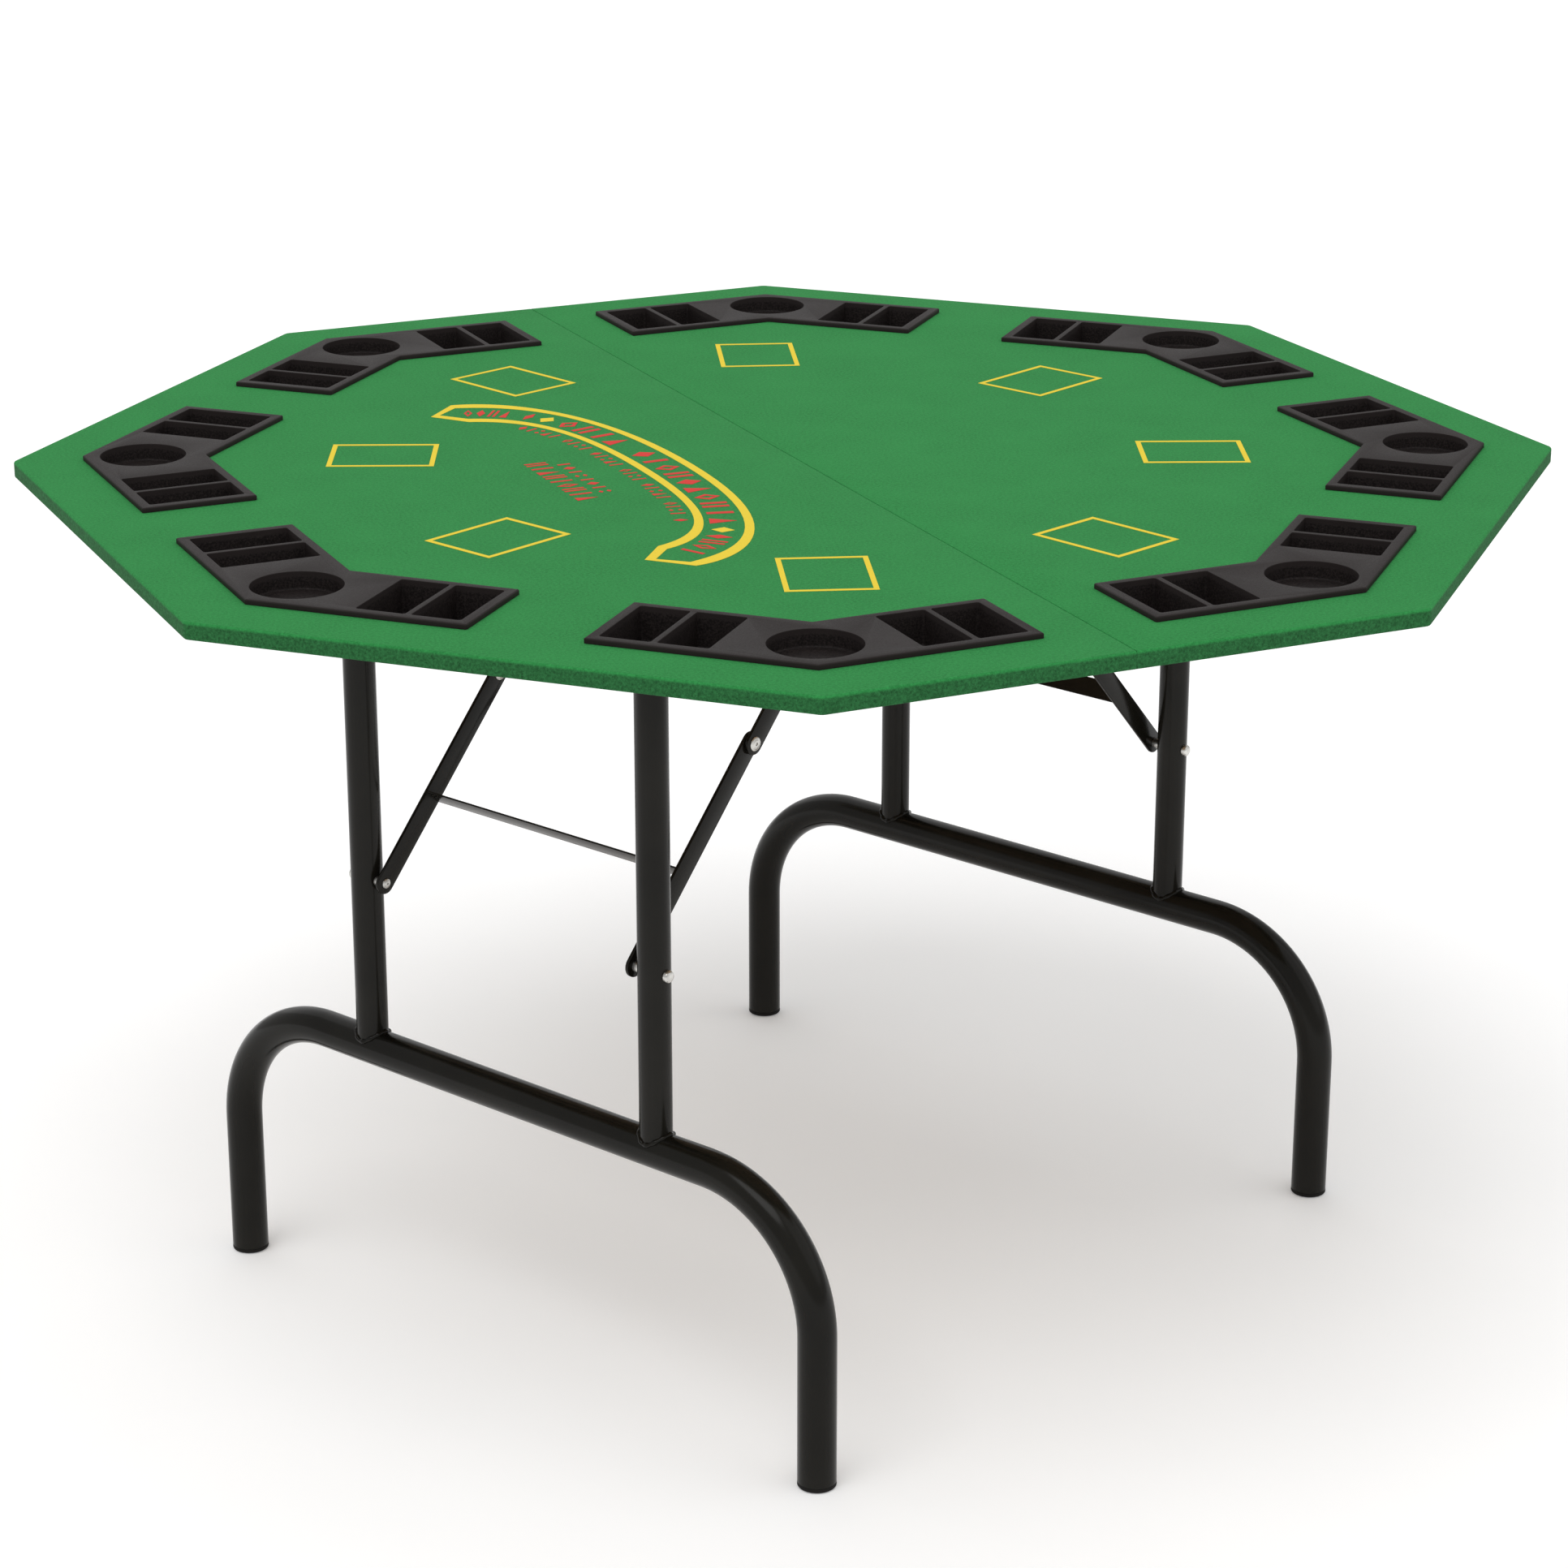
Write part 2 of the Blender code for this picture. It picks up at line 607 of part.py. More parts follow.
def build_saddle(name, side, axis, material):
    """A pressed strap that holds the pivot tube under the top."""
    top = PIVOT_DROP - GAP
    bore = PIVOT_TUBE_RADIUS + GAP
    outer = bore + PLATE
    points = [(-SADDLE_HALF_LENGTH, top), (-SADDLE_HALF_LENGTH, top - PLATE), (-outer, top - PLATE)]
    points += arc((0.0, 0.0), outer, math.pi, 2 * math.pi, SADDLE_STEPS)
    points += [(outer, top - PLATE), (SADDLE_HALF_LENGTH, top - PLATE)]
    points += [(SADDLE_HALF_LENGTH, top), (bore, top)]
    points += arc((0.0, 0.0), bore, 2 * math.pi, math.pi, SADDLE_STEPS)
    points.append((-bore, top))
    form = bmesh.new()
    low = side * SADDLE_CENTRE - SADDLE_WIDTH / 2
    add_extrusion(form, [(u, low, z) for u, z in points], (0.0, SADDLE_WIDTH, 0.0))
    make_object(name, smooth(mesh_of(name, form)), material, axis)


def build_brace_bracket(name, side, axis, material):
    """An angle under the top: a foot plate, a round-ended ear, and the pin that the upper link turns on."""
    top = PIVOT_DROP - GAP
    outside = EAR_FACE
    inside = EAR_FACE - BRACE_THICKNESS
    ear = arc((0.0, 0.0), BRACKET_FRONT, math.pi, 2 * math.pi, LINK_END_STEPS)
    ear += [(BRACKET_FRONT, top - PLATE / 2), (-BRACKET_BACK, top - PLATE / 2)]
    ear.append((-BRACKET_BACK, top - 2 * PLATE))
    form = bmesh.new()
    add_extrusion(form, [(u, side * inside, z) for u, z in ear], (0.0, side * (outside - inside), 0.0))
    bracket = make_object(name, mesh_of(name, form), material, axis)

    form = bmesh.new()
    plate = [(-BRACKET_BACK, side * outside), (BRACKET_FRONT, side * outside)]
    plate += [(u, side * (outside - BRACKET_REACH)) for u in (BRACKET_FRONT, -BRACKET_BACK)]
    add_prism(form, plate, top - PLATE, top)
    foot = hidden_cutter(f"{name}_foot", mesh_of("foot", form), axis)
    add_boolean(bracket, foot, "UNION")

    end = UPPER_FACE - BRACE_THICKNESS - GAP
    middle_of_ear = (outside + inside) / 2
    profile = [(middle_of_ear, PIN_RADIUS), (end, PIN_RADIUS), (end, HEAD_RADIUS)]
    profile.append((end - HEAD_HEIGHT, HEAD_RADIUS / 2))
    pin = smooth(mesh_of("pin", turned(mirrored_profile(profile, side), PIN_SIDES)))
    add_boolean(bracket, hidden_cutter(f"{name}_pin", pin, axis), "UNION")


def build_frame(number, materials):
    """One leg frame with its brackets and braces. Frame 2 is frame 1 turned half a turn."""
    turn = FRAME_TURN + math.pi * (number - 1)
    place = (-FRAME_FROM_CENTRE * math.cos(turn), -FRAME_FROM_CENTRE * math.sin(turn), PIVOT_Z)
    bracket_axis = make_axis(f"brackets_{number}", place, turn)
    leg_axis = make_axis(f"leg_axis_{number}", place, turn)
    lower_axis = make_axis(f"lower_brace_axis_{number}", (0.0, 0.0, -BRACE_BOLT_DROP), 0.0, leg_axis)
    upper_axis = make_axis(f"upper_brace_axis_{number}", (BRACE_BRACKET_IN, 0.0, 0.0), 0.0, bracket_axis)
    build_leg(number, leg_axis, materials)
    build_braces(number, lower_axis, upper_axis, materials)
    for side, letter in ((-1, "a"), (1, "b")):
        build_saddle(f"saddle_{number}_{letter}", side, bracket_axis, materials["steel"])
        build_brace_bracket(f"brace_bracket_{number}_{letter}", side, upper_axis, materials["steel"])


def main():
    clear_scene()
    materials = {
        "felt": make_material("felt", (0.045, 0.235, 0.072), 0.95, 0.0),
        "board": make_material("board", (0.42, 0.30, 0.19), 0.80, 0.0),
        "tray": make_material("tray", (0.034, 0.028, 0.028), 0.55, 0.0),
        "steel": make_material("steel", (0.012, 0.011, 0.009), 0.35, 0.6),
        "zinc": make_material("zinc", (0.62, 0.61, 0.58), 0.35, 1.0),
        "hinge": make_material("hinge", (0.45, 0.36, 0.18), 0.40, 1.0),
        "cap": make_material("cap", (0.014, 0.013, 0.012), 0.60, 0.0),
    }
    seam = make_axis("seam_axis", (0.0, 0.0, TABLE_HEIGHT))
    tray = tray_mesh(seam, materials["tray"])
    build_half(-1, "left", seam, materials, tray)
    build_half(1, "right", seam, materials, tray)
    build_hinge_links(seam, materials["zinc"])
    build_frame(1, materials)
    build_frame(2, materials)


main()
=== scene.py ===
"""Looks for the folding card table: felt, layout, trays, painted steel, fittings, light and camera."""

import json
import math
import random

import bmesh
import bpy
from mathutils import Matrix, Vector


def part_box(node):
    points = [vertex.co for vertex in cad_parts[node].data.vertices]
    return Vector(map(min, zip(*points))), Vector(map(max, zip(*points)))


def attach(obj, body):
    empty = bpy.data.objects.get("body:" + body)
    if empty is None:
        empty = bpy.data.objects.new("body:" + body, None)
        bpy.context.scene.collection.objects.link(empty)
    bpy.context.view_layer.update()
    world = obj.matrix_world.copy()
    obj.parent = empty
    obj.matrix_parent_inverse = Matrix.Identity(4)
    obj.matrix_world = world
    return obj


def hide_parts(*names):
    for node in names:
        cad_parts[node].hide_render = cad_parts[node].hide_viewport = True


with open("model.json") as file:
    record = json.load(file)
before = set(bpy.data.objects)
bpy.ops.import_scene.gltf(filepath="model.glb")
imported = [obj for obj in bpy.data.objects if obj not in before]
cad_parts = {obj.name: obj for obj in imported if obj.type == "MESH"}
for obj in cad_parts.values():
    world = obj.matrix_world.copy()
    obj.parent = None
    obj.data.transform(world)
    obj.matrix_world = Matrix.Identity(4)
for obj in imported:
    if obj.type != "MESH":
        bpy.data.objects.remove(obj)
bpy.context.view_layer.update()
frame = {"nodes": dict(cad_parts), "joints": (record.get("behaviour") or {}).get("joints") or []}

JOINTS = {joint["name"]: joint for joint in frame["joints"]}
SIDES = {"left": -1, "right": 1}
NUMBERS = {"left": 1, "right": 2}
TRAYS = {"left": (3, 4, 5, 6), "right": (1, 2, 7, 8)}

# The top, repeated from the part
SEAM = Vector(JOINTS["top_fold"]["pos_m"])
AT_SEAM = Matrix.Translation(SEAM)
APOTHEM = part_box("felt_right")[1].x
FELT = 0.0010
BOARD = 0.0120
GAP = 0.0003
UNDERSIDE = -(FELT + GAP + BOARD)
HALF_CORNER = math.radians(22.5)
CORNER_RADIUS = 0.008

# The felt's own shape: the radii of its edges, how far the seam opens with the inset, the gap left there,
# and the width of the band turned under the board
EDGE_ROUND = 0.0022
FOLD_ROUND = 0.0016
SEAM_ROUND = 0.35
NAP_GAP = 0.00005
FOLD_UNDER = 0.018
OVERCUT = 0.02

# Trays, repeated from the part
TRAY_OUTER = 0.5553
TRAY_INNER = 0.4582
TRAY_END = 0.0468
TRAY_TOP = 0.0043
TRAY_WALL = 0.0013
TRAY_SEAT = 0.006
WELL_NEAR = 0.4661
WELL_FAR = 0.5467
WELL_FIRST = 0.0555
WELL_WIDTH = 0.0408
WELL_DIVIDER = 0.0050
WELL_DEPTH = 0.028
CUP_FROM_CENTRE = 0.5498
CUP_RADIUS = 0.0363
CUP_DEPTH = 0.0145

# The trays' own finer shape: lip from its foot up as inset and height, and radii of wells, floors and tubs
LIP_PROFILE = ((0.0, 0.0003), (0.0, 0.0033), (0.0002, 0.0037), (0.0008, 0.00415), (0.0014, TRAY_TOP))
LIP_CORNER = 0.0018
SEAT_CORNER = 0.002
WELL_CORNER = 0.0022
FLOOR_ROUND = 0.0018
MOUTH_FLARE = 0.0004
TUB_ROUND = 0.0015
TUB_TOP = 0.002

# Leg frames, repeated from the part
PIVOT_DROP = 0.0195
PIVOT_RADIUS = 0.011
PIVOT_HALF = 0.203
PIVOT_Z = SEAM.z + UNDERSIDE - PIVOT_DROP
BAR_Z = 0.2451
BAR = BAR_Z - PIVOT_Z
FOOT_HALF_SPAN = 0.333
LEG_RADIUS = 0.016
BEND_RADIUS = 0.114
WALL = 0.0015
UPRIGHT_HALF_SPAN = 0.1632
UPRIGHT_RADIUS = 0.0137
FOOT_CAP = 0.004
BOLT_DROP = 0.2916
BRACKET_IN = 0.2760
KNEE_SHARE = 0.517
BRACE_ANGLE = math.atan2(BOLT_DROP, BRACKET_IN)
LOWER_LENGTH = KNEE_SHARE * math.hypot(BOLT_DROP, BRACKET_IN)
UPPER_LENGTH = math.hypot(BOLT_DROP, BRACKET_IN) - LOWER_LENGTH
BRACE_DIRECTION = Vector((math.cos(BRACE_ANGLE), math.sin(BRACE_ANGLE)))
LINK_HALF_WIDTH = 0.0095
LINK_THICKNESS = 0.003
PLATE_GAP = 0.0006
KNEE_HEAD_SPACE = 0.0026
UPPER_FACE = UPRIGHT_HALF_SPAN - UPRIGHT_RADIUS - KNEE_HEAD_SPACE
LOWER_FACE = UPPER_FACE - LINK_THICKNESS - PLATE_GAP
EAR_FACE = UPPER_FACE + PLATE_GAP + LINK_THICKNESS
INNER_FACE = LOWER_FACE - LINK_THICKNESS
STRIP_SHARE = 0.41
PLATE = 0.0025
SADDLE_CENTRE = 0.190
SADDLE_WIDTH = 0.020
SADDLE_HALF_LENGTH = 0.034
BRACKET_BACK = 0.034
BRACKET_FRONT = 0.008
BRACKET_REACH = 0.026
STRIP_HALF_WIDTH = 0.0095
STRIP_HALF_THICKNESS = 0.0008

# The frames' own finer shape: bends, rounded corners, weld beads, and the plug's neck inside the tube
SADDLE_BEND = 0.004
BRACKET_CORNER = 0.003
STRIP_CORNER = 0.0005
PLATE_BEVEL = 0.0005
WELD_CLEAR = 0.0001
WELD_RADIUS = 0.0021
WELD_RIPPLE = 0.00035
PLUG_LENGTH = 0.018
PLUG_TAPER = 0.001
TREAD_ROUND = 0.0022
TREAD_STEP = 0.0006
TREAD_HEIGHT = 0.0014
EAR_NOTCH = (0.006, 0.004)

# Fastener heads, as shares of a head's height and radius from its rim to its centre
RIVET_HEAD = ((0.35, 1.0), (0.62, 0.92), (0.74, 0.80), (0.62, 0.72), (0.66, 0.66), (0.92, 0.52))
RIVET_HEAD += ((1.0, 0.34), (0.96, 0.24), (0.55, 0.20), (0.5, 0.0))
BOLT_HEAD = ((0.45, 1.0), (0.75, 0.90), (0.93, 0.68), (1.0, 0.36), (1.0, 0.0))
HEAD_SUNK = 0.0004
TIP_RADIUS = 0.0002
KNEE_RADIUS = 0.0060
KNEE_INNER_HEIGHT = 0.0022
KNEE_OUTER_HEIGHT = 0.0020
BOLT_RADIUS = 0.0052
BOLT_HEIGHT = 0.0040
BOLT_SHANK = 0.0031
BOLT_SUNK = 0.003
SPACER_RADIUS = 0.0048
SPACER_SUNK = 0.001
NUT_RADIUS = 0.0043
NUT_HEIGHT = 0.0020
PIN_RADIUS = 0.0055
PIN_HEIGHT = 0.0020
PIN_DOME = (0.0012, 0.0032, 0.0042)
PIN_SHANK = 0.0030
SCREW_RADIUS = 0.0040
SCREW_HEIGHT = 0.0014
SCREW_SUNK = 0.0008
SCREW_DOME = ((0.0, 1.0), (0.4, 0.96), (1.0, 0.45))
SCREW_CROSS = (0.55, 0.14)
CROSS_DEPTHS = (0.35, 2.0)
CATCH_SCREW_RADIUS = 0.0034
CATCH_SCREW_HEIGHT = 0.0012
CATCH_SCREW_OUT = 0.017
SADDLE_SCREW_OUT = 0.026
BRACKET_SCREWS = (-0.027, 0.0)
BRACKET_SCREW_IN = 0.019
TURNED_SIDES = 32

# Staples: an edge's heading with the stretch stapled on it, the wire as (share of the half width, rise), and
# how far each strays along the edge, inward and in its lean
STAPLED_EDGES = ((-90, 0.02, 0.225), (-45, -0.215, 0.215), (0, -0.215, 0.215), (45, -0.215, 0.215))
STAPLED_EDGES += ((90, -0.225, -0.02),)
STAPLE_SHAPE = ((-1.0, 0.0010), (-1.0, -0.0002), (-0.86, -0.0005))
STAPLE_SHAPE += ((0.86, -0.0005), (1.0, -0.0002), (1.0, 0.0010))
STAPLE_PITCH = 0.055
STAPLE_IN = 0.0125
STAPLE_HALF = 0.0048
STAPLE_WIRE = 0.00045
STAPLE_STRAY = (0.004, 0.001, 0.25)

# The finish of each CAD node, by the start of its name
CAD_FINISHES = (
    ("board", "board"),
    ("seam_hinge_link", "zinc"),
    ("seam_hinge", "hinge"),
    ("catch_plate", "zinc"),
    ("catch_magnet", "catch"),
    ("tray", "tray"),
    ("felt", "felt"),
    ("", "steel"),
)

# Floor, lights as name, place, power and spread in degrees, and the camera
FLOOR_HALF = 14.0
FLOOR_DROP = 0.0002
FLOOR_GLOW = 0.14
WORLD_STRENGTH = 0.62
SUNS = (
    ("key", (-1.2, -1.0, 3.2), 1.15, 45.0),
    ("fill", (2.4, -2.0, 2.6), 0.35, 60.0),
    ("back", (0.4, 3.0, 2.4), 0.35, 60.0),
)
CAMERA_AZIMUTH = math.radians(-24.57)
CAMERA_TILT = math.radians(19.66)
CAMERA_FROM_SEAM = Vector((-1.3872, -3.0266, 0.8887))
CAMERA_LENS = 91.96
CAMERA_FAR = 60.0
SENSOR_WIDTH = 36.0

RANDOM = random.Random(7)


# ---- node helpers


class Nodes:
    """Short calls for building one material's nodes."""

    def __init__(self, name, roughness=0.5, metallic=0.0):
        self.material = bpy.data.materials.new(name)
        self.material.use_nodes = True
        self.tree = self.material.node_tree
        self.shader = self.tree.nodes["Principled BSDF"]
        self.shader.inputs["Roughness"].default_value = roughness
        self.shader.inputs["Metallic"].default_value = metallic
        self.place = self.add("ShaderNodeTexCoord").outputs["Object"]

    def add(self, kind, **values):
        node = self.tree.nodes.new(kind)
        for key, value in values.items():
            setattr(node, key, value)
        return node

    def link(self, output, target):
        self.tree.links.new(output, target)

    def noise(self, scale, detail=2.0, roughness=0.5, stretch=None):
        node = self.add("ShaderNodeTexNoise")
        node.inputs["Scale"].default_value = scale
        node.inputs["Detail"].default_value = detail
        node.inputs["Roughness"].default_value = roughness
        source = self.place
        if stretch:
            mapping = self.add("ShaderNodeMapping")
            mapping.inputs["Scale"].default_value = stretch
            self.link(source, mapping.inputs["Vector"])
            source = mapping.outputs["Vector"]
        self.link(source, node.inputs["Vector"])
        return node.outputs["Fac"]

    def cells(self, scale):
        node = self.add("ShaderNodeTexVoronoi")
        node.inputs["Scale"].default_value = scale
        self.link(self.place, node.inputs["Vector"])
        return node.outputs["Distance"]

    def ramp(self, value, stops):
        node = self.add("ShaderNodeValToRGB")
        while len(node.color_ramp.elements) < len(stops):
            node.color_ramp.elements.new(0.5)
        for element, (position, colour) in zip(node.color_ramp.elements, stops):
            element.position = position
            element.color = (*colour, 1.0)
        self.link(value, node.inputs["Fac"])
        return node.outputs["Color"]

    def span(self, value, low, high, start=0.3, end=0.7):
        node = self.add("ShaderNodeMapRange")
        for name, number in (("From Min", start), ("From Max", end), ("To Min", low), ("To Max", high)):
            node.inputs[name].default_value = number
        self.link(value, node.inputs["Value"])
        return node.outputs["Result"]

    def mix(self, factor, first, second):
        node = self.add("ShaderNodeMix", data_type="RGBA")
        sockets = {"Factor": factor, "A": first, "B": second}
        for name, value in sockets.items():
            found = [s for s in node.inputs if s.name == name and s.enabled]
            if isinstance(value, bpy.types.NodeSocket):
                self.link(value, found[0])
            else:
                found[0].default_value = value if name == "Factor" else (*value, 1.0)
        return [s for s in node.outputs if s.enabled][0]

    def math(self, operation, first, second):
        node = self.add("ShaderNodeMath", operation=operation)
        for socket, value in zip(node.inputs, (first, second)):
            if isinstance(value, bpy.types.NodeSocket):
                self.link(value, socket)
            else:
                socket.default_value = value
        return node.outputs["Value"]

    def colour(self, output):
        self.link(output, self.shader.inputs["Base Color"])

    def rough(self, output):
        self.link(output, self.shader.inputs["Roughness"])

    def bump(self, height, strength, distance):
        node = self.add("ShaderNodeBump")
        node.inputs["Strength"].default_value = strength
        node.inputs["Distance"].default_value = distance
        self.link(height, node.inputs["Height"])
        self.link(node.outputs["Normal"], self.shader.inputs["Normal"])

    def fixed(self, **values):
        for name, value in values.items():
            self.shader.inputs[name.replace("_", " ")].default_value = value


def shade(colour, factor):
    """The colour made lighter or darker."""
    return tuple(min(1.0, c * factor) for c in colour)


def felt_material(name, light, dark, skirt):
    """Short-napped baize: fine fuzz, matted patches, and a coarser skirt below the rounded edge, its darker
    colour painted shade.
    """
    m = Nodes(name)
    fuzz = m.noise(430, 4.0, 0.75)
    fibre = m.noise(1500, 3.0, 0.7)
    coarse = m.noise(460, 4.0, 0.8)
    patch = m.noise(14, 3.0, 0.6)
    base = m.ramp(fuzz, [(0.38, dark), (0.62, light)])
    base = m.mix(m.span(patch, 0.0, 0.30), base, shade(light, 1.10))
    base = m.mix(m.span(fibre, 0.0, 0.50, 0.50, 0.72), base, shade(dark, 0.55))
    base = m.mix(m.span(coarse, 0.0, 0.60, 0.50, 0.72), base, shade(light, 1.25))
    side = m.add("ShaderNodeSeparateXYZ")
    m.link(m.place, side.inputs["Vector"])
    # Below the rounded edge the colour turns to the skirt's: coarser grain, and darker as painted shade on
    # the side faces
    down = m.span(side.outputs["Z"], 1.0, 0.0, -0.0028, -0.0009)
    coarse_side_painted_shade = m.ramp(coarse, [(0.34, shade(skirt, 0.50)), (0.66, shade(skirt, 1.30))])
    m.colour(m.mix(down, base, coarse_side_painted_shade))
    m.rough(m.span(fuzz, 0.86, 1.0))
    nap = m.math("ADD", fuzz, m.math("MULTIPLY", fibre, 0.6))
    m.bump(m.math("ADD", nap, m.math("MULTIPLY", m.math("MULTIPLY", coarse, 2.0), down)), 0.5, 0.0005)
    m.fixed(Sheen_Weight=0.03, Sheen_Roughness=0.5)
    m.fixed(Specular_IOR_Level=0.08)
    return m.material


def ink_material(name, ink, felt):
    """Screen-printed ink on felt: the fibres break the colour up a little."""
    m = Nodes(name)
    fuzz = m.noise(900, 3.0, 0.7)
    fibre = m.noise(2600, 2.0, 0.6)
    base = m.mix(m.span(fuzz, 0.0, 0.22, 0.45, 0.72), ink, shade(ink, 0.82))
    base = m.mix(m.span(fibre, 0.0, 0.35, 0.58, 0.72), base, felt)
    m.colour(base)
    m.rough(m.span(fuzz, 0.72, 0.92))
    m.bump(fuzz, 0.4, 0.0003)
    m.fixed(Specular_IOR_Level=0.10)
    return m.material


def plastic_material(name, colour, grain_scale=1500.0, roughness=(0.42, 0.60), deep=None):
    """Moulded plastic with a spark-eroded grain, coarser below the depth given."""
    m = Nodes(name)
    grain = m.noise(grain_scale, 3.0, 0.65)
    cloud = m.noise(18, 3.0)
    pits = m.cells(grain_scale * 0.8)
    base = m.ramp(cloud, [(0.3, shade(colour, 0.90)), (0.7, shade(colour, 1.12))])
    base = m.mix(m.span(grain, 0.0, 0.35, 0.5, 0.8), base, shade(colour, 0.6))
    height = m.math("ADD", grain, m.math("MULTIPLY", pits, 0.5))
    if deep:
        coarse = m.noise(620, 4.0, 0.8)
        side = m.add("ShaderNodeSeparateXYZ")
        m.link(m.place, side.inputs["Vector"])
        down = m.span(side.outputs["Z"], 1.0, 0.0, deep - 0.002, deep)
        speckle = m.ramp(coarse, [(0.42, shade(colour, 0.35)), (0.70, shade(colour, 1.6))])
        base = m.mix(down, base, speckle)
        height = m.math("ADD", height, m.math("MULTIPLY", m.math("MULTIPLY", coarse, 2.5), down))
    m.colour(base)
    m.rough(m.span(grain, *roughness))
    m.bump(height, 0.35, 0.00022)
    m.fixed(Specular_IOR_Level=0.10)
    return m.material


def paint_material(name, colour, chip):
    """Satin black paint on steel: orange peel, faint handling marks and paint thinned on edges."""
    m = Nodes(name)
    peel = m.noise(420, 2.0, 0.5)
    marks = m.noise(12, 3.0, 0.5)
    scratch = m.noise(40, 3.0, 0.6, (6.0, 6.0, 0.6))
    edge = m.span(m.add("ShaderNodeNewGeometry").outputs["Pointiness"], 0.0, 0.35, 0.56, 0.68)
    base = m.ramp(marks, [(0.3, shade(colour, 0.75)), (0.7, shade(colour, 1.35))])
    m.colour(m.mix(m.math("MULTIPLY", edge, m.span(marks, 0.2, 1.0)), base, chip))
    m.rough(m.math("ADD", m.span(marks, 0.14, 0.21), m.span(scratch, 0.0, 0.05, 0.55, 0.75)))
    m.bump(peel, 0.05, 0.0002)
    m.fixed(Specular_IOR_Level=0.16)
    return m.material


def metal_material(name, colour, roughness):
    """Plated steel with fine brushing and a slightly uneven tone."""
    m = Nodes(name, metallic=1.0)
    brush = m.noise(900, 2.0, 0.6, (1.0, 6.0, 1.0))
    tone = m.noise(120, 3.0)
    m.colour(m.ramp(tone, [(0.3, shade(colour, 0.78)), (0.7, shade(colour, 1.08))]))
    m.rough(m.span(brush, roughness - 0.07, roughness + 0.10))
    m.bump(brush, 0.15, 0.0001)
    return m.material


def board_material(name, colour):
    """Fibreboard: pressed fibres with darker flecks."""
    m = Nodes(name)
    fibre = m.noise(260, 5.0, 0.75, (1.0, 0.35, 1.0))
    fleck = m.noise(1400, 2.0, 0.6)
    cloud = m.noise(7, 3.0)
    base = m.ramp(fibre, [(0.32, shade(colour, 0.72)), (0.68, shade(colour, 1.12))])
    base = m.mix(m.span(fleck, 0.0, 0.6, 0.60, 0.72), base, shade(colour, 0.45))
    m.colour(m.mix(m.span(cloud, 0.0, 0.3), base, shade(colour, 0.8)))
    m.rough(m.span(fibre, 0.72, 0.9))
    m.bump(fibre, 0.25, 0.0003)
    return m.material


GREEN_LIGHT = (0.034, 0.262, 0.068)
GREEN_DARK = (0.018, 0.168, 0.040)
# The skirt green is painted shade: the same felt, made darker because its faces turn away from the light
GREEN_SKIRT_PAINTED_SHADE = (0.0238, 0.132, 0.041)
MATERIALS = {
    "felt": felt_material("baize", GREEN_LIGHT, GREEN_DARK, GREEN_SKIRT_PAINTED_SHADE),
    "yellow": ink_material("yellow_ink", (0.80, 0.60, 0.050), GREEN_LIGHT),
    "red": ink_material("red_ink", (0.66, 0.050, 0.045), GREEN_LIGHT),
    "tray": plastic_material("grained_black", (0.0195, 0.0152, 0.0146), 1500.0, (0.45, 0.62), 0.001),
    "steel": paint_material("satin_black", (0.0075, 0.0068, 0.0050), (0.028, 0.026, 0.023)),
    "zinc": metal_material("zinc", (0.66, 0.65, 0.62), 0.30),
    "hinge": metal_material("passivated", (0.55, 0.44, 0.20), 0.34),
    "cap": plastic_material("cap_plastic", (0.011, 0.010, 0.009), 1100.0, (0.5, 0.7)),
    "catch": plastic_material("catch_plastic", (0.020, 0.020, 0.020), 1100.0, (0.45, 0.65)),
    "board": board_material("fibreboard", (0.36, 0.245, 0.145)),
}


# ---- mesh helpers


def mesh_from(form, degrees=35):
    """The form's mesh, smooth but for edges sharper than that."""
    bmesh.ops.recalc_face_normals(form, faces=form.faces)
    mesh = bpy.data.meshes.new("piece")
    form.to_mesh(mesh)
    form.free()
    mesh.shade_smooth()
    mesh.set_sharp_from_angle(angle=math.radians(degrees))
    return mesh


def new_object(name, data):
    obj = bpy.data.objects.new(name, data)
    bpy.context.scene.collection.objects.link(obj)
    return obj


def piece(name, mesh, slot, body, place, finish=None, replaces=()):
    """Puts one piece in the scene, on its body, with its material."""
    mesh.name = name
    obj = new_object(name, mesh)
    obj.matrix_world = place
    mesh.materials.clear()
    mesh.materials.append(MATERIALS[finish or slot])
    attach(obj, body)
    if replaces:
        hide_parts(*replaces)
    return obj


def arc(centre, radius, start, end, steps):
    turn = (end - start) / steps
    return [
        (centre[0] + radius * math.cos(start + turn * i), centre[1] + radius * math.sin(start + turn * i))
        for i in range(steps + 1)
    ]


def bridge(form, first, second):
    count = len(first)
    for i in range(count):
        j = (i + 1) % count
        form.faces.new((first[i], first[j], second[j], second[i]))


def add_stack(form, levels, closed=True):
    """A closed solid from outlines of equal length, each a list of 3-D points."""
    rings = [[form.verts.new(point) for point in level] for level in levels]
    for first, second in zip(rings, rings[1:]):
        bridge(form, first, second)
    if closed:
        form.faces.new(rings[0])
        form.faces.new(list(reversed(rings[-1])))
    else:
        bridge(form, rings[-1], rings[0])
    return rings


def stack_mesh(levels, degrees=35, closed=True):
    """The mesh of one stack of outlines."""
    form = bmesh.new()
    add_stack(form, levels, closed)
    return mesh_from(form, degrees)


def at_height(outline, height):
    return [(x, y, height) for x, y in outline]


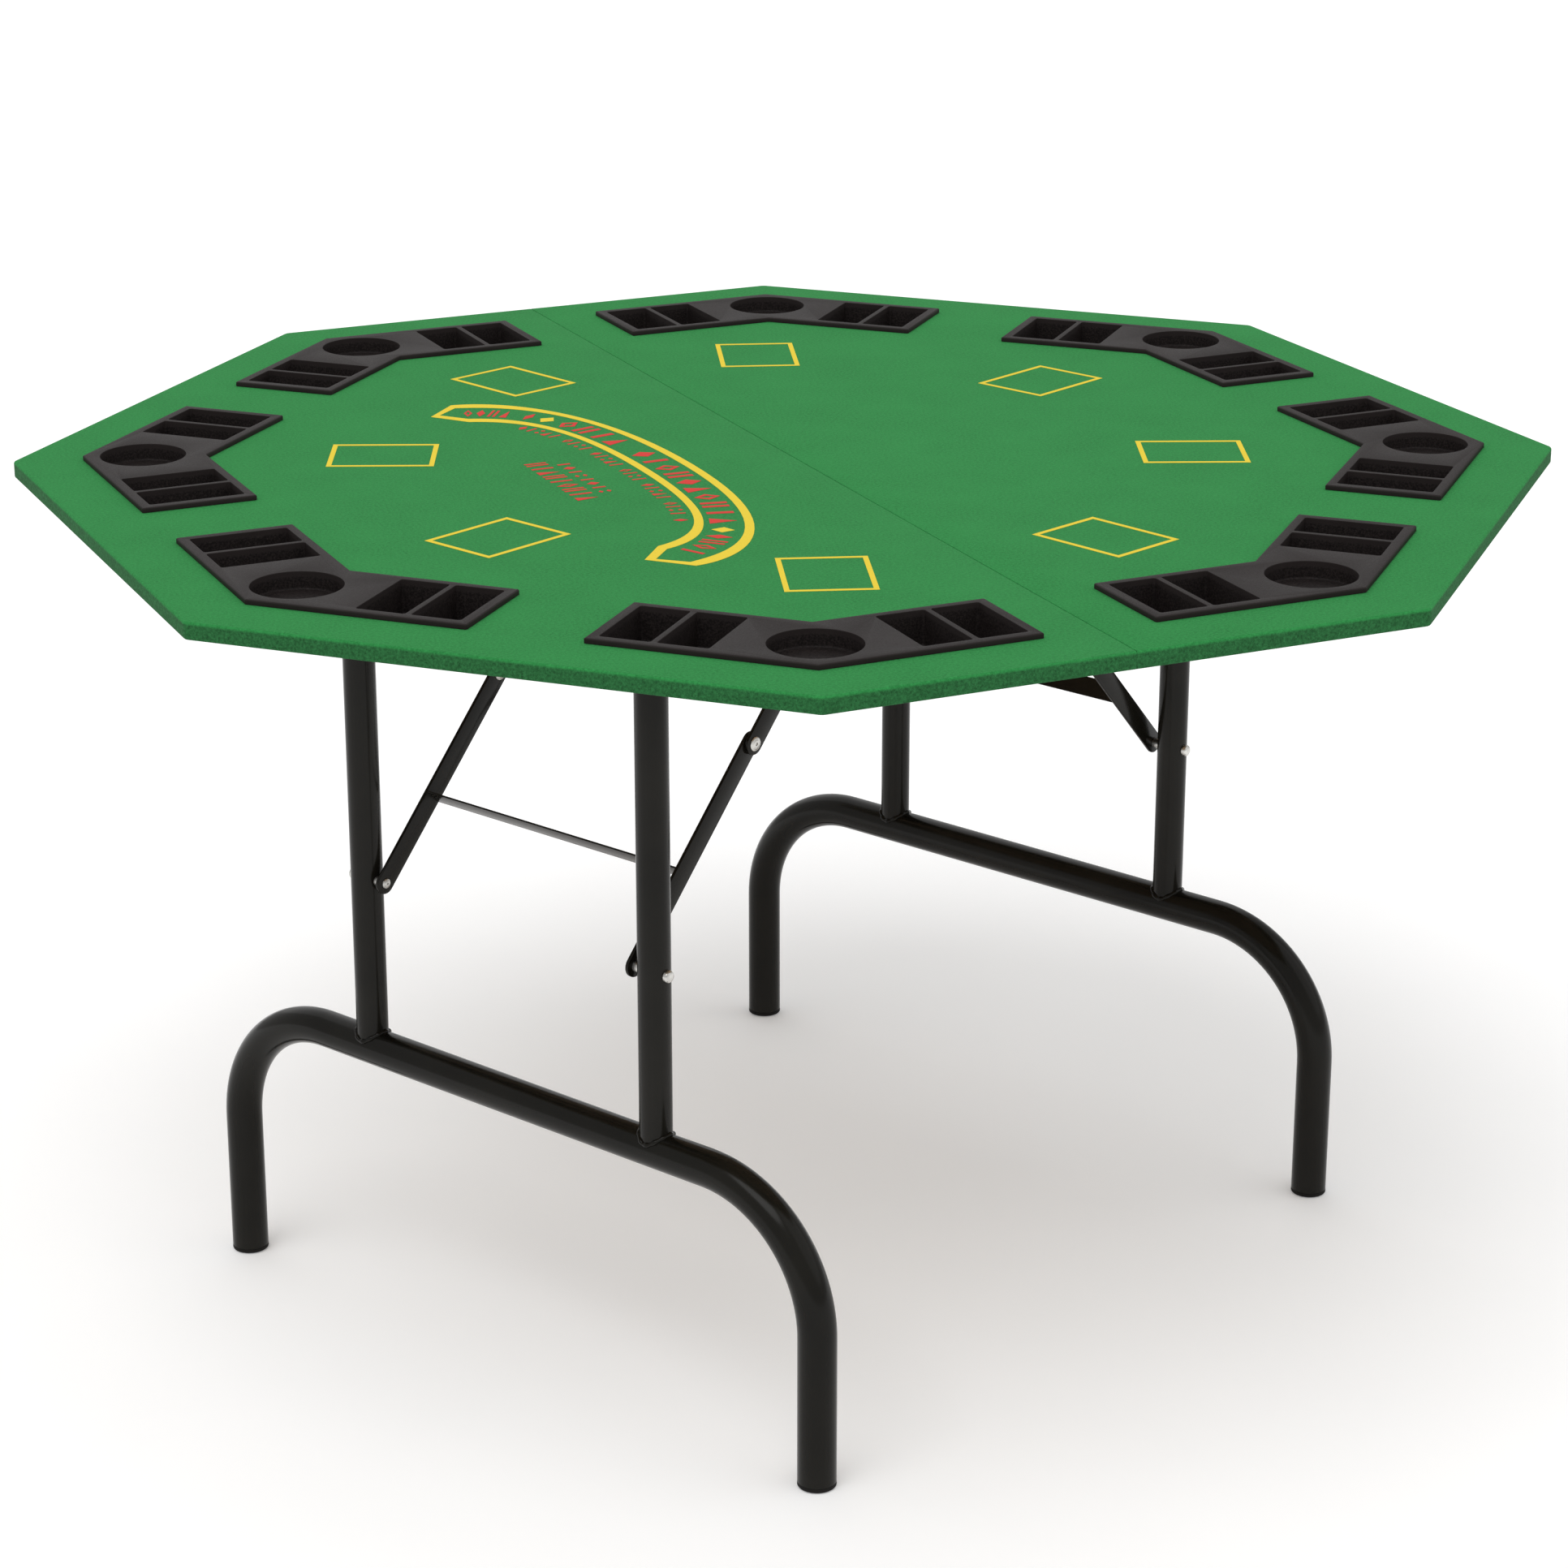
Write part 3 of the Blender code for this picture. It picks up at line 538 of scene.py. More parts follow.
def fillet(points, radius, steps):
    """Rounds each corner of a polygon, inward or outward corner alike."""
    result = []
    count = len(points)
    for i in range(count):
        before = Vector(points[i - 1])
        here = Vector(points[i])
        after = Vector(points[(i + 1) % count])
        into = (before - here).normalized()
        out = (after - here).normalized()
        half = into.angle(out) / 2
        reach = radius / math.tan(half)
        middle = here + (into + out).normalized() * (radius / math.sin(half))
        start = here + into * reach
        end = here + out * reach
        a = math.atan2(start.y - middle.y, start.x - middle.x)
        b = math.atan2(end.y - middle.y, end.x - middle.x)
        b = a + (b - a + math.pi) % (2 * math.pi) - math.pi
        result += arc((middle.x, middle.y), radius, a, b, steps)
    return result


def turned_mesh(profile, sides=TURNED_SIDES, axis="s"):
    """A solid of revolution from (along, radius) pairs, about s or about z."""
    levels = []
    for along, radius in profile:
        ring = []
        for k in range(sides):
            angle = 2 * math.pi * k / sides
            a, b = radius * math.cos(angle), radius * math.sin(angle)
            ring.append((a, along, b) if axis == "s" else (a, b, along))
        levels.append(ring)
    return stack_mesh(levels)


def swept_rings(path, radius, sides, closed=False):
    """Circles of the given radius round each point of a path, kept from twisting."""
    count = len(path)
    rings = []
    side = None
    for i, point in enumerate(path):
        ahead = path[(i + 1) % count] if closed else path[min(i + 1, count - 1)]
        behind = path[i - 1] if closed or i else path[i]
        along = (ahead - behind).normalized()
        if side is None:
            side = along.orthogonal().normalized()
        side = (side - along * side.dot(along)).normalized()
        up = along.cross(side)
        size = radius(i) if callable(radius) else radius
        angles = [2 * math.pi * k / sides for k in range(sides)]
        rings.append([point + size * (math.cos(a) * side + math.sin(a) * up) for a in angles])
    return rings


def applied(obj):
    """The object's mesh with its modifiers applied; the object goes."""
    bpy.context.view_layer.update()
    graph = bpy.context.evaluated_depsgraph_get()
    mesh = bpy.data.meshes.new_from_object(obj.evaluated_get(graph))
    bpy.data.objects.remove(obj, do_unlink=True)
    return mesh


def carve(mesh, steps, degrees=35):
    """Applies Booleans, each an (operation, mesh) pair, one after another."""
    obj = new_object("carved", mesh)
    helpers = []
    for operation, other in steps:
        helper = new_object("cutter", other)
        helpers.append(helper)
        modifier = obj.modifiers.new(operation, "BOOLEAN")
        modifier.operation = operation
        modifier.solver = "EXACT"
        modifier.object = helper
    made = applied(obj)
    for helper in helpers:
        bpy.data.objects.remove(helper, do_unlink=True)
    if not made.polygons:
        raise RuntimeError("a piece came out of its Booleans empty")
    made.shade_smooth()
    made.set_sharp_from_angle(angle=math.radians(degrees))
    return made


# ---- top


def half_octagon(inset, side, seam, round_steps=8):
    """Half of the table's octagon with rounded corners, inset from its edge, up to seam from the middle."""
    apothem = APOTHEM - inset
    radius = max(CORNER_RADIUS - inset, 0.001)
    corner = apothem * math.tan(HALF_CORNER)
    setback = radius * math.tan(HALF_CORNER)
    points = [(seam, -apothem)]
    sharp = [(corner, -apothem), (apothem, -corner), (apothem, corner), (corner, apothem)]
    for index, (x, y) in enumerate(sharp):
        heading = math.radians(45 * index)
        cos, sin = math.cos(heading), math.sin(heading)
        centre = (x - setback * cos - radius * sin, y - setback * sin + radius * cos)
        start = heading - math.pi / 2
        points += arc(centre, radius, start, start + math.pi / 4, round_steps)
    points.append((seam, apothem))
    return [(side * x, y) for x, y in points]


def tray_point(arm, from_centre, from_middle):
    x = from_centre * math.cos(HALF_CORNER) + from_middle * math.sin(HALF_CORNER)
    y = from_centre * math.sin(HALF_CORNER) - from_middle * math.cos(HALF_CORNER)
    return (x, arm * y)


def tray_outline(inset):
    outer = TRAY_OUTER - inset
    inner = TRAY_INNER + inset
    end = TRAY_END + inset
    return [
        tray_point(1, outer, outer * math.tan(HALF_CORNER)),
        tray_point(1, outer, end),
        tray_point(1, inner, end),
        tray_point(1, inner, inner * math.tan(HALF_CORNER)),
        tray_point(-1, inner, end),
        tray_point(-1, outer, end),
    ]


def rotated(points, angle):
    cos, sin = math.cos(angle), math.sin(angle)
    return [(cos * x - sin * y, sin * x + cos * y) for x, y in points]


def tray_angle(number):
    return HALF_CORNER + math.radians(45) * (number - 1)


def cutters_for_trays(side_name):
    form = bmesh.new()
    for number in TRAYS[side_name]:
        outline = rotated(fillet(tray_outline(TRAY_SEAT), SEAT_CORNER, 3), tray_angle(number))
        add_stack(form, [at_height(outline, UNDERSIDE - OVERCUT), at_height(outline, OVERCUT)])
    return mesh_from(form)


def build_felt(side_name):
    """The felt skin: flat top, rounded edge, skirt and a band turned under the board."""
    side = SIDES[side_name]
    bottom = UNDERSIDE - FELT
    levels = []
    for angle in range(0, 91, 15):
        a = math.radians(angle)
        inset = EDGE_ROUND * (1 - math.sin(a))
        levels.append((inset, -EDGE_ROUND * (1 - math.cos(a))))
    for angle in range(0, 91, 30):
        a = math.radians(angle)
        levels.append((FOLD_ROUND * (1 - math.cos(a)), bottom + FOLD_ROUND * (1 - math.sin(a))))
    outlines = [half_octagon(inset, side, NAP_GAP + SEAM_ROUND * inset) for inset, _ in levels]
    shell = stack_mesh([at_height(outline, z) for outline, (_, z) in zip(outlines, levels)])
    inside = half_octagon(FELT, side, -OVERCUT)
    hollow = stack_mesh([at_height(inside, UNDERSIDE), at_height(inside, -FELT)])
    under = half_octagon(FOLD_UNDER, side, -OVERCUT)
    heights = (bottom - OVERCUT / 2, UNDERSIDE + FELT)
    opening = stack_mesh([at_height(under, z) for z in heights])
    steps = [("DIFFERENCE", mesh) for mesh in (hollow, opening, cutters_for_trays(side_name))]
    mesh = carve(shell, steps, 30)
    replaces = (f"felt_{side_name}",)
    piece(f"baize_{side_name}", mesh, "felt", f"top_{side_name}", AT_SEAM, replaces=replaces)


def well_outline(arm, first, grow):
    near, far = WELL_NEAR - grow, WELL_FAR + grow
    low, high = first - grow, first + WELL_WIDTH + grow
    corners = [(far, high), (near, high), (near, low), (far, low)]
    return fillet([tray_point(arm, *corner) for corner in corners], WELL_CORNER + grow, 5)


def cup_outline(grow):
    return arc((CUP_FROM_CENTRE, 0.0), CUP_RADIUS + grow, 0.0, 2 * math.pi, 72)[:-1]


def hollow_levels(outline, floor):
    """Outlines of one recess, from its rounded floor up to its flared mouth."""
    levels = [at_height(outline(-FLOOR_ROUND), floor)]
    for angle in (30, 60, 90):
        a = math.radians(angle)
        height = floor + FLOOR_ROUND * (1 - math.cos(a))
        levels.append(at_height(outline(-FLOOR_ROUND * (1 - math.sin(a))), height))
    for angle in (0, 30, 60, 90):
        a = math.radians(angle)
        height = TRAY_TOP - MOUTH_FLARE * (1 - math.sin(a))
        levels.append(at_height(outline(MOUTH_FLARE * (1 - math.cos(a))), height))
    levels.append(at_height(outline(MOUTH_FLARE), TRAY_TOP + OVERCUT / 2))
    return levels


def build_tray_mesh():
    """One moulded tray, with a soft lip, four wells and a cup recess."""
    lip = [(fillet(tray_outline(inset), LIP_CORNER - inset, 4), z) for inset, z in LIP_PROFILE]
    shell = stack_mesh([at_height(outline, z) for outline, z in lip])
    tubs = bmesh.new()
    hollows = bmesh.new()
    for arm in (1, -1):
        for number in range(2):
            first = WELL_FIRST + number * (WELL_WIDTH + WELL_DIVIDER)
            outside = well_outline(arm, first, TRAY_WALL)
            foot = well_outline(arm, first, TRAY_WALL - TUB_ROUND)
            low = TRAY_TOP - WELL_DEPTH - TRAY_WALL
            levels = [at_height(foot, low), at_height(outside, low + TUB_ROUND), at_height(outside, TUB_TOP)]
            add_stack(tubs, levels)
            add_stack(hollows, hollow_levels(lambda g: well_outline(arm, first, g), TRAY_TOP - WELL_DEPTH))
    low = TRAY_TOP - CUP_DEPTH - TRAY_WALL
    outside = cup_outline(TRAY_WALL)
    add_stack(tubs, [at_height(outside, low), at_height(outside, TUB_TOP)])
    add_stack(hollows, hollow_levels(cup_outline, TRAY_TOP - CUP_DEPTH))
    steps = [("UNION", mesh_from(tubs)), ("DIFFERENCE", mesh_from(hollows))]
    return carve(shell, steps, 32)


def build_trays():
    mesh = build_tray_mesh()
    for side_name, numbers in TRAYS.items():
        for number in numbers:
            turned = mesh.copy()
            turned.transform(Matrix.Rotation(tray_angle(number), 4, "Z"))
            name = f"corner_tray_{number}"
            piece(name, turned, "tray", f"top_{side_name}", AT_SEAM, replaces=(f"tray_{number}",))


# ---- printed layout

CARD_BOXES = ((0.1235, 0.3387), (0.3189, 0.1387))
CARD_HALF_LONG = 0.0457
CARD_HALF_WIDE = 0.0366
CARD_LINE = 0.0043
BOX_SHIFT = {"left": 0.0015, "right": 0.0}
GEM_FROM_MIDDLE = 0.1855
GEM_WIDTH = 0.015
GEM_HEIGHT = 0.019
PRINT_LOW = 0.00005
PRINT_HIGH = 0.00022

# Rows of red marks: in the crescent before, between and after its two diamonds, and in a curve inside it
MARK_SHARE = 0.68
BAND_HEIGHT = 0.0225
BAND_ROOM = 0.014
FIRST_MARKS = ("outline", "lozenge", "double", "wedge", "none", "lozenge")
MIDDLE_COUNT = 15
MIDDLE_MARKS = ("outline", "double", "bar", "wedge", "none", "lozenge")
MIDDLE_MARKS += ("bar", "outline", "double", "lozenge", "wedge")
LAST_ROOM = (0.012, 0.008)
LAST_MARKS = ("lozenge", "double", "outline", "bar")
CURVE_INSIDE = 0.0115
CURVE_ENDS = (0.120, 0.830)
CURVE_COUNT = 34
CURVE_HEIGHT = 0.0125
CURVE_MARKS = ("lozenge", "bar", "dots", "wedge", "bar", "none", "outline", "bar", "dots", "bar", "none")

# Two short straight rows: distance from the seam, start and end along it, count, height and kinds
SHORT_ROWS = (
    (-0.2093, 0.0627, -0.0677, 9, 0.0195, ("double", "bar", "wedge", "double", "bar", "outline")),
    (-0.1878, 0.0530, -0.0530, 8, 0.0115, ("bar", "lozenge", "bar", "dots")),
)


def add_flat(form, outline):
    add_stack(form, [at_height(outline, PRINT_LOW), at_height(outline, PRINT_HIGH)])


def add_frame_line(form, outline, inner):
    """A printed line that closes on itself, from its outer and inner outlines."""
    levels = [at_height(outline, PRINT_LOW), at_height(outline, PRINT_HIGH)]
    levels += [at_height(inner, PRINT_HIGH), at_height(inner, PRINT_LOW)]
    add_stack(form, levels, closed=False)


def card_box(form, centre):
    """One card outline, square to the corner it lies in front of."""
    angle = math.atan2(centre[1], centre[0])

    def corners(inset):
        a, b = CARD_HALF_LONG - inset, CARD_HALF_WIDE - inset
        square = [(a, b), (-a, b), (-a, -b), (a, -b)]
        return [(centre[0] + x, centre[1] + y) for x, y in rotated(square, angle)]

    add_frame_line(form, corners(0.0), corners(CARD_LINE))


# Each edge of the crescent's two lines: vertex x, reach of the vertex handle, end point, length of the end
# handle and its heading in degrees
CRESCENT_EDGES = {
    "outer": (-0.0880, 0.23, (-0.2053, 0.2770), 0.035, 177),
    "outer_in": (-0.0958, 0.23, (-0.2053, 0.2660), 0.035, 162),
    "inner_out": (-0.1282, 0.17, (-0.2078, 0.2250), 0.042, 162),
    "inner": (-0.1358, 0.13, (-0.2111, 0.2147), 0.060, 161),
}
TIP = (-0.2354, 0.2454)
TIP_IN = (-0.2266, 0.2472)


def crescent_line(edge, steps=24):
    """One edge of the crescent, from its upper end to its lower end, as two mirrored cubic curves."""
    vertex, reach, end, pull, heading = CRESCENT_EDGES[edge]
    angle = math.radians(heading)
    start = Vector((vertex, 0.0))
    first = Vector((vertex, reach))
    end = Vector(end)
    second = end - pull * Vector((math.cos(angle), math.sin(angle)))
    upper = []
    for i in range(steps + 1):
        t = 1.0 - i / steps
        r = 1.0 - t
        upper.append(r ** 3 * start + 3 * r * r * t * first + 3 * r * t * t * second + t ** 3 * end)
    points = [(point.x, point.y) for point in upper]
    return points + [(x, -y) for x, y in reversed(points[:-1])]


def middle_line(first, second):
    """The line half way between two lines with as many points each."""
    return [((a + c) / 2, (b + d) / 2) for (a, b), (c, d) in zip(first, second)]


def mirrored(point):
    return (point[0], -point[1])


def along_line(points, distance):
    """The point and heading that far along a line of points."""
    for first, second in zip(points, points[1:]):
        a, b = Vector(first), Vector(second)
        length = (b - a).length
        if distance <= length:
            heading = (b - a).normalized()
            return a + heading * distance, heading
        distance -= length
    return Vector(points[-1]), (Vector(points[-1]) - Vector(points[-2])).normalized()


def line_length(points):
    return sum((Vector(b) - Vector(a)).length for a, b in zip(points, points[1:]))


def add_mark(form, kind, middle, heading, width, height):
    """One plain geometric mark: width runs along the line, height across it."""
    across = Vector((-heading.y, heading.x))

    def place(points):
        return [tuple(middle + heading * (x * width / 2) + across * (y * height / 2)) for x, y in points]

    stroke = 0.34
    if kind == "lozenge":
        add_flat(form, place([(1, 0), (0, 1), (-1, 0), (0, -1)]))
    elif kind == "bar":
        add_flat(form, place([(stroke, 1), (-stroke, 1), (-stroke, -1), (stroke, -1)]))
    elif kind == "double":
        for low, high in ((-0.9, -0.3), (0.3, 0.9)):
            add_flat(form, place([(high, 1), (low, 1), (low, -1), (high, -1)]))
    elif kind == "wedge":
        add_flat(form, place([(0.9, -1), (0, 1), (-0.9, -1)]))
    elif kind == "outline":
        outer = [(1, 0), (0, 1), (-1, 0), (0, -1)]
        add_frame_line(form, place(outer), place([(0.45 * x, 0.55 * y) for x, y in outer]))
    elif kind == "dots":
        for y in (-0.62, 0.62):
            add_flat(form, place([(0.7, y), (0, y + 0.38), (-0.7, y), (0, y - 0.38)]))


def add_row(form, line, start, end, count, height, kinds):
    """Evenly spaced marks between two distances down a line."""
    pitch = (end - start) / count
    for i in range(count):
        middle, heading = along_line(line, start + pitch * (i + 0.5))
        kind = kinds[i % len(kinds)]
        if kind != "none":
            add_mark(form, kind, middle, heading, pitch * MARK_SHARE, height)


def build_layout():
    yellow = {"left": bmesh.new(), "right": bmesh.new()}
    for x, y in CARD_BOXES:
        for sign in (1, -1):
            for side_name, side in SIDES.items():
                card_box(yellow[side_name], (side * x + BOX_SHIFT[side_name], sign * y))
    form = yellow["left"]
    edges = {edge: crescent_line(edge) for edge in CRESCENT_EDGES}
    outside = edges["outer"] + [mirrored(TIP)] + edges["inner"][::-1] + [TIP]
    inside = edges["outer_in"] + [mirrored(TIP_IN)] + edges["inner_out"][::-1] + [TIP_IN]
    add_frame_line(form, outside, inside)
    band = middle_line(edges["outer_in"], edges["inner_out"])
    length = line_length(band)
    upper = [point for point in band if point[1] >= GEM_FROM_MIDDLE]
    gems = (line_length(upper), length - line_length(upper))
    for distance in gems:
        middle, heading = along_line(band, distance)
        add_mark(form, "lozenge", middle, heading, GEM_WIDTH, GEM_HEIGHT)
    for side_name, made in yellow.items():
        name = f"layout_yellow_{side_name}"
        piece(name, mesh_from(made), "felt", f"top_{side_name}", AT_SEAM, "yellow")

    red = bmesh.new()
    add_row(red, band, 0.0, gems[0] - BAND_ROOM, len(FIRST_MARKS), BAND_HEIGHT, FIRST_MARKS)
    add_row(red, band, gems[0] + BAND_ROOM, gems[1] - BAND_ROOM, MIDDLE_COUNT, BAND_HEIGHT, MIDDLE_MARKS)
    start, end = gems[1] + LAST_ROOM[0], length - LAST_ROOM[1]
    add_row(red, band, start, end, len(LAST_MARKS), BAND_HEIGHT, LAST_MARKS)
    curve = [(x - CURVE_INSIDE, y) for x, y in edges["inner"]]
    start, end = (share * line_length(curve) for share in CURVE_ENDS)
    add_row(red, curve, start, end, CURVE_COUNT, CURVE_HEIGHT, CURVE_MARKS)
    for x, start, end, count, height, kinds in SHORT_ROWS:
        row = [(x, start), (x, end)]
        add_row(red, row, 0.0, line_length(row), count, height, kinds)
    piece("layout_red", mesh_from(red), "felt", "top_left", AT_SEAM, "red")


# ---- leg frames


def leg_path():
    bottom = FOOT_CAP + GAP - PIVOT_Z
    straight = FOOT_HALF_SPAN - BEND_RADIUS
    bend = arc((straight, BAR - BEND_RADIUS), BEND_RADIUS, 0.0, math.pi / 2, 28)
    near = [(FOOT_HALF_SPAN, bottom), (FOOT_HALF_SPAN, (bottom + BAR - BEND_RADIUS) / 2)] + bend
    near += [(straight / 2, BAR)]
    far = [(-s, z) for s, z in reversed(near)]
    return [Vector((0.0, s, z)) for s, z in near + far]


def tube_mesh(path, radius, sides=40):
    outer = swept_rings(path, radius, sides)
    inner = swept_rings(path, radius - WALL, sides)
    return stack_mesh(outer + inner[::-1], 40, closed=False)


def upright_mesh(side):
    """A tube coped over the bar at its foot and under the pivot tube at its head."""
    sides = 48
    levels = []
    for radius, rows in ((UPRIGHT_RADIUS, (0, 1)), (UPRIGHT_RADIUS - WALL, (1, 0))):
        for row in rows:
            ring = []
            for k in range(sides):
                angle = 2 * math.pi * k / sides
                u, s = radius * math.cos(angle), radius * math.sin(angle)
                low = BAR + math.sqrt(max((LEG_RADIUS + WELD_CLEAR) ** 2 - u * u, 0.0))
                high = -math.sqrt(max((PIVOT_RADIUS + WELD_CLEAR) ** 2 - u * u, 0.0))
                ring.append((u, s + side * UPRIGHT_HALF_SPAN, high if row else low))
            levels.append(ring)
    return stack_mesh(levels, 40, closed=False)


def weld_mesh(side, round_radius, centre_z, direction):
    """A rippled weld bead where an upright meets a tube that runs along s."""
    path = []
    count = 72
    for k in range(count):
        angle = 2 * math.pi * k / count
        u = UPRIGHT_RADIUS * math.cos(angle)
        s = UPRIGHT_RADIUS * math.sin(angle)
        reach = math.sqrt(max(round_radius ** 2 - u * u, 0.0))
        path.append(Vector((u, s + side * UPRIGHT_HALF_SPAN, centre_z + direction * reach)))
    beads = swept_rings(path, lambda i: WELD_RADIUS + WELD_RIPPLE * math.sin(i * 2 * math.pi / 6), 10, True)
    return stack_mesh(beads, 80, closed=False)


def link_outline(length, angle, inset, steps=20):
    radius = LINK_HALF_WIDTH - inset
    far = (length * math.cos(angle), length * math.sin(angle))
    points = arc(far, radius, angle - math.pi / 2, angle + math.pi / 2, steps)
    return points + arc((0.0, 0.0), radius, angle + math.pi / 2, angle + 3 * math.pi / 2, steps)


def plate_mesh(outline, face, thickness, side):
    """A flat plate with rounded edges. The outline function takes an inset; face is its outer side."""
    bevel = PLATE_BEVEL
    steps = [(0.0, bevel), (bevel * 0.3, bevel * 0.3), (bevel, 0.0)]
    steps += [(thickness - depth, inset) for depth, inset in reversed(steps)]
    levels = [[(u, side * (face - depth), z) for u, z in outline(inset)] for depth, inset in steps]
    return stack_mesh(levels, 50)


def head_profile(shares, start, direction, radius, height):
    """A fastener's head standing on a plate, from its sunk rim to its centre, as (along, radius) pairs."""
    steps = [(-HEAD_SUNK, radius)] + [(height * up, max(radius * out, TIP_RADIUS)) for up, out in shares]
    return [(start + direction * along, size) for along, size in steps]


def cross_head(radius, height, direction):
    """A pan-head wood screw's head with a cross recess, its top facing direction along z."""
    levels = [(-SCREW_SUNK, radius * 0.6)] + [(height * up, radius * out) for up, out in SCREW_DOME]
    head = turned_mesh([(direction * along, size) for along, size in levels], 24, "z")
    cuts = []
    long, short = (radius * share for share in SCREW_CROSS)
    for a, b in ((long, short), (short, long)):
        square = [(a, b), (-a, b), (-a, -b), (a, -b)]
        levels = [at_height(square, direction * height * share) for share in CROSS_DEPTHS]
        cuts.append(("DIFFERENCE", stack_mesh(levels)))
    return carve(head, cuts)


def saddle_mesh(side):
    """A strap bent round the pivot tube, with a foot on each side that is screwed to the board."""
    top = PIVOT_DROP - GAP
    bore = PIVOT_RADIUS + GAP
    outer = bore + PLATE
    bend = SADDLE_BEND
    points = [(-SADDLE_HALF_LENGTH, top), (-SADDLE_HALF_LENGTH, top - PLATE)]
    points += arc((-outer - bend, top - PLATE - bend), bend, math.pi / 2, 0.0, 5)
    points += arc((0.0, 0.0), outer, math.pi, 2 * math.pi, 24)
    points += arc((outer + bend, top - PLATE - bend), bend, math.pi, math.pi / 2, 5)
    points += [(SADDLE_HALF_LENGTH, top - PLATE), (SADDLE_HALF_LENGTH, top), (bore, top)]
    points += arc((0.0, 0.0), bore, 2 * math.pi, math.pi, 24)
    points.append((-bore, top))
    centre = side * SADDLE_CENTRE
    half = SADDLE_WIDTH / 2
    return stack_mesh([[(u, centre + offset, z) for u, z in points] for offset in (-half, half)], 40)


def bracket_mesh(side):
    """A pressed angle: foot plate with rounded corners and a round-ended ear."""
    top = PIVOT_DROP - GAP
    back, front = BRACKET_BACK, BRACKET_FRONT
    ear = arc((0.0, 0.0), front, math.pi, 2 * math.pi, 18)
    ear += [(front, top - PLATE / 2), (-back, top - PLATE / 2)]
    ear += [(-back, top - 2 * PLATE), (-front - EAR_NOTCH[0], EAR_NOTCH[1])]
    faces = (EAR_FACE, EAR_FACE - LINK_THICKNESS)
    form = stack_mesh([[(u, side * face, z) for u, z in ear] for face in faces])
    low, high = sorted((side * EAR_FACE, side * (EAR_FACE - BRACKET_REACH)))
    outline = fillet([(front, high), (-back, high), (-back, low), (front, low)], BRACKET_CORNER, 5)
    foot = stack_mesh([at_height(outline, top - PLATE), at_height(outline, top)])
    return carve(form, [("UNION", foot)])


def cap_mesh():
    """A moulded foot plug with a rounded tread, a rim under the tube and a neck inside it."""
    floor = -PIVOT_Z
    rim = floor + FOOT_CAP
    radius = LEG_RADIUS
    neck = radius - WALL - GAP
    profile = [(floor, TIP_RADIUS), (floor, radius - TREAD_ROUND)]
    profile += [(floor + TREAD_STEP, radius - TREAD_STEP), (floor + TREAD_HEIGHT, radius)]
    profile += [(rim - GAP, radius), (rim, radius - GAP)]
    profile += [(rim, neck), (floor + PLUG_LENGTH, neck - PLUG_TAPER)]
    return turned_mesh(profile, 48, "z")


class LegFrame:
    """One leg frame: its number in node names, its bodies, and the places that its pieces are made in."""

    def __init__(self, side_name):
        joint = JOINTS[f"leg_fold_{side_name}"]
        s = -Vector(joint["axis"]).normalized()
        z = Vector((0.0, 0.0, 1.0))
        u = s.cross(z)
        turn = Matrix((u, s, z)).transposed().to_4x4()
        self.side_name = side_name
        self.number = NUMBERS[side_name]
        self.leg = f"leg_{side_name}"
        self.top = f"top_{side_name}"
        self.lower = f"lower_brace_{side_name}"
        self.upper = f"upper_brace_{side_name}"
        self.place = Matrix.Translation(Vector(joint["pos_m"])) @ turn
        self.at_bolt = self.place @ Matrix.Translation((0.0, 0.0, -BOLT_DROP))
        self.at_bracket = self.place @ Matrix.Translation((BRACKET_IN, 0.0, 0.0))

    def put(self, kind, mesh, slot, body, place, node=None, letter=None):
        """Puts in one piece of the frame. The node is the kind of CAD node that it replaces, if any."""
        ending = f"_{letter}" if letter else ""
        replaces = (f"{node}_{self.number}{ending}",) if node else ()
        return piece(f"{kind}_{self.side_name}{ending}", mesh, slot, body, place, replaces=replaces)


def build_leg_tubes(legs):
    bent = tube_mesh(leg_path(), LEG_RADIUS)
    legs.put("bent_leg", bent, "steel", legs.leg, legs.place, "leg_tube")
    ends = [Vector((0.0, s, 0.0)) for s in (-PIVOT_HALF, 0.0, PIVOT_HALF)]
    straight = tube_mesh(ends, PIVOT_RADIUS)
    legs.put("cross_tube", straight, "steel", legs.leg, legs.place, "pivot_tube")


def build_cross_strip(legs):
    """The flat strip that ties the two lower links together."""
    half = LOWER_FACE - LINK_THICKNESS - GAP
    along = BRACE_DIRECTION
    across = Vector((-along.y, along.x))
    centre = along * (STRIP_SHARE * LOWER_LENGTH)
    a, b = STRIP_HALF_THICKNESS, STRIP_HALF_WIDTH
    corners = [centre + x * along + y * across for x, y in ((-a, -b), (a, -b), (a, b), (-a, b))]
    outline = fillet([tuple(corner) for corner in corners], STRIP_CORNER, 3)
    mesh = stack_mesh([[(u, s, z) for u, z in outline] for s in (-half, 0.0, half)], 50)
    strip = legs.put("cross_strip", mesh, "steel", legs.lower, legs.at_bolt, "brace_strip")
    strip.data.shade_smooth()


def build_upright(legs, side, letter):
    leg, place = legs.leg, legs.place
    legs.put("upright_tube", upright_mesh(side), "steel", leg, place, "upright", letter)
    foot = weld_mesh(side, LEG_RADIUS, BAR, 1)
    legs.put("weld_foot", foot, "steel", leg, place, letter=letter)
    head = weld_mesh(side, PIVOT_RADIUS, 0.0, -1)
    legs.put("weld_head", head, "steel", leg, place, letter=letter)
    at_foot = place @ Matrix.Translation((0.0, side * FOOT_HALF_SPAN, 0.0))
    legs.put("foot_plug", cap_mesh(), "cap", leg, at_foot, "foot_cap", letter)


